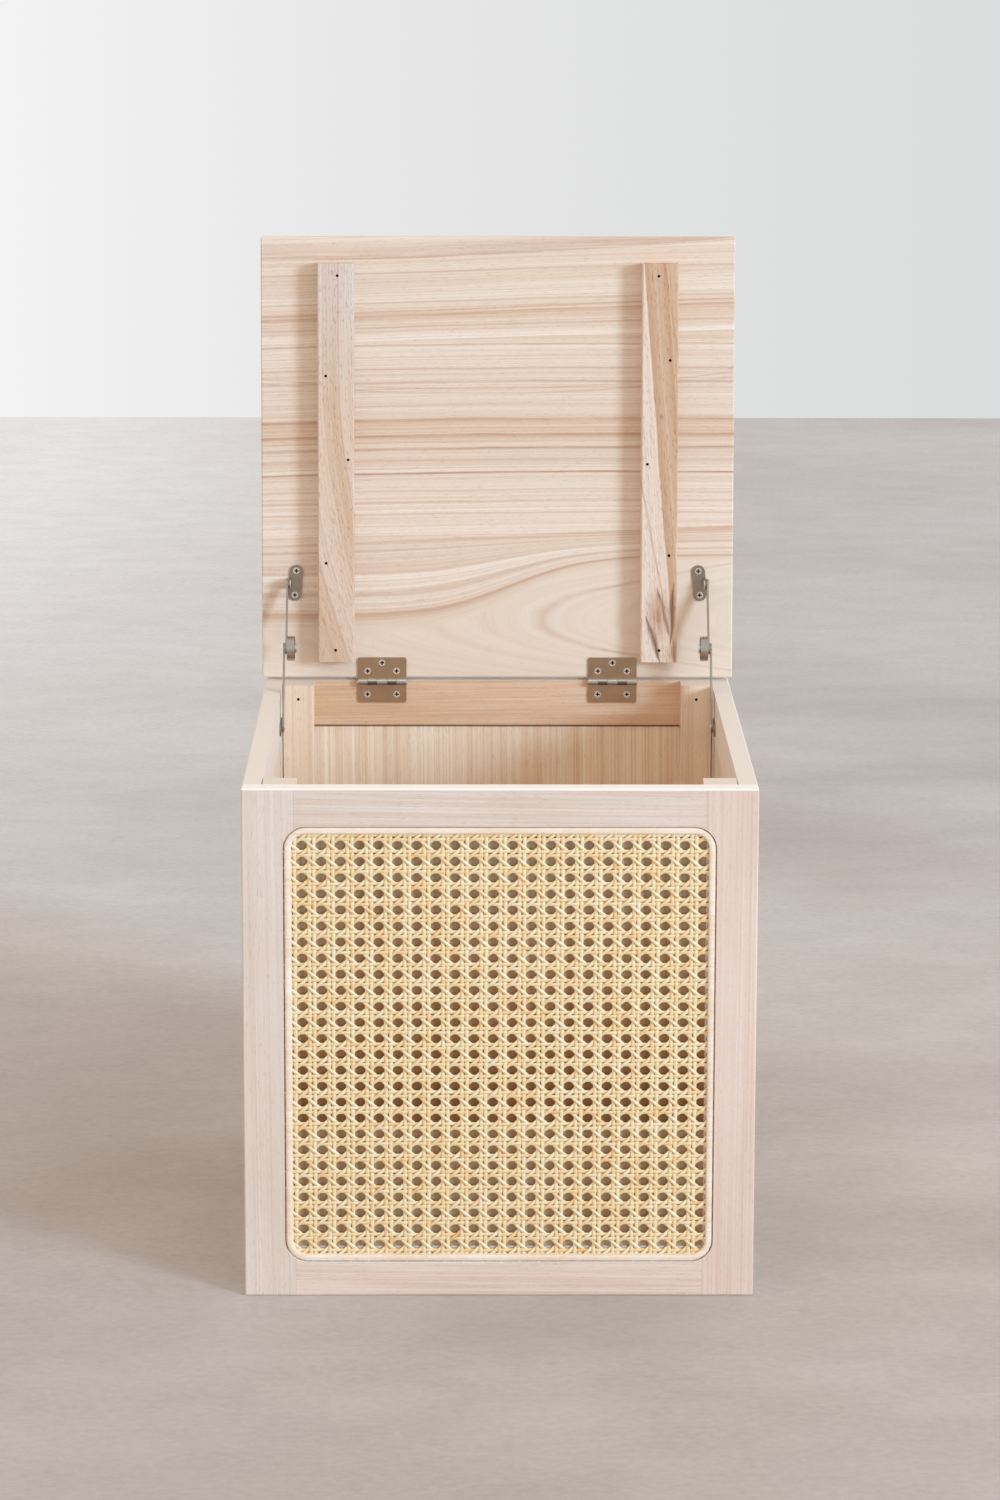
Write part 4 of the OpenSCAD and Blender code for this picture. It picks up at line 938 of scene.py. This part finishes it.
# The leaves' brown tones are a painted reflection of the wood. The box leaf is lighter than the lid leaf,
# painted light against the shade inside the box; the lid leaf's knuckles are painted dark, as shade in the
# slots between the box leaf's knuckles.
leaf_steels = {"box": plated_steel("satin_box_leaf_steel", "#c9b297", 0.36, (4.0, 0.33), "#a8a29a"),
               "lid": plated_steel("satin_lid_leaf_steel", "#baa085", 0.36, (4.0, 0.33), "#6f6a64")}
plate_steel = plated_steel("satin_stay_plate_steel", "#a39686", 0.36, (4.0, 0.33))
arm_steel = plated_steel("satin_stay_arm_steel", "#b3aa9f", 0.38, (3.0, 0.5))
drum_steel = plated_steel("turned_drum_steel", "#bdb5ab", 0.28, (0.5, 4.0))
pin_steel = plated_steel("bright_pin_steel", "#dfdad2", 0.22, (2.0, 0.5))
rivet_steel = plated_steel("bright_rivet_steel", "#f2eee8", 0.24, (2.0, 1.0))
for hand in ("left", "right"):
    for part in ("box", "lid"):
        dress(f"{hand}_hinge_{part}_leaf", leaf_steels[part])
    for part, steel in (("side_plate", plate_steel), ("lid_plate", plate_steel), ("lower_arm", arm_steel),
                        ("upper_arm", arm_steel), ("drum", drum_steel), ("pivot_screw", rivet_steel)):
        dress(f"{hand}_stay_{part}", steel)
dress("hinge_pins", pin_steel)
for group in ("stay_side_rivets", "stay_lid_rivets"):
    dress(group, rivet_steel)
for group in ("box_screws", "lid_screws"):
    # the box's screws past LEAF_REACH hold the stays and face sideways, so their crosses don't show
    heads = [head for head, _ in driven_ends(group) if abs(head[0]) < LEAF_REACH or group == "lid_screws"]
    # the pale, half-metal tone of the heads is a painted highlight
    dress(group, plated_steel("bright_" + group + "_steel", "#e6d9cc", 0.26, (2.0, 1.0), heads=heads,
                              metallic=0.4))

# Brads: headless wire nails, punched a millimetre under the surface of battens and posts.
# Each shows as a black dot of painted shade: a thin disc at the mouth of its hole, a little wider than the
# nail. The brads are painted black too, as shade in their holes.
BRAD_SINK = 1.0
BRAD_R = 0.7
MOUTH_R = 1.25
MOUTH_LOW, MOUTH_HIGH = -BRAD_SINK - 0.01, -BRAD_SINK - 0.06
POINT_R = 0.01
ROUND = 16


def punched_brad(head, tip):
    """A brad as a solid of revolution round the line from head to tip, with a painted-shade disc at its
    mouth.

    Each (distance from the head, radius) of the profile gives the ring head + way * d + r (cos a, sin a).
    """
    length = np.linalg.norm(tip - head)
    way = (tip - head) / length
    side = np.cross(way, (1.0, 0.0, 0.0))
    profile = ((MOUTH_HIGH, POINT_R), (MOUTH_HIGH, MOUTH_R), (MOUTH_LOW, MOUTH_R), (MOUTH_LOW, BRAD_R),
               (length, BRAD_R), (length, POINT_R))
    turn = np.linspace(0, 2 * np.pi, ROUND, endpoint=False)[:, None]
    circle = np.cos(turn) * side + np.sin(turn) * np.cross(way, side)
    return np.stack([head + way * along + circle * radius for along, radius in profile])


# Black brads and mouth discs: painted shade in the holes.
brad_hole_shade, tree, shader = material("painted_shade_brad_wire")
hole_shade = add(tree, "ValToRGB", {0: streaks(tree, millimetres(tree), 1.0, 1.0, 4.0)},
           stops=[(0.35, "#080605"), (0.65, "#15100c")])
wire(shader, {"Base Color": hole_shade, "Roughness": 0.8, "Specular IOR Level": 0.1})
for node, body in (("batten_brads", "lid"), ("post_brads", "box")):
    rings = np.stack([punched_brad(head, tip) for head, tip in driven_ends(node)])
    index = np.arange(rings[..., 0].size).reshape(rings.shape[:3])
    near, far = index[:, :-1], index[:, 1:]
    faces = np.stack([near, np.roll(near, -1, 2), np.roll(far, -1, 2), far], -1).reshape(-1, 4)
    brads = mesh_piece("punched_" + node, rings.reshape(-1, 3), faces, brad_hole_shade, smooth=False)
    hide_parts(node)
    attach(brads, body)
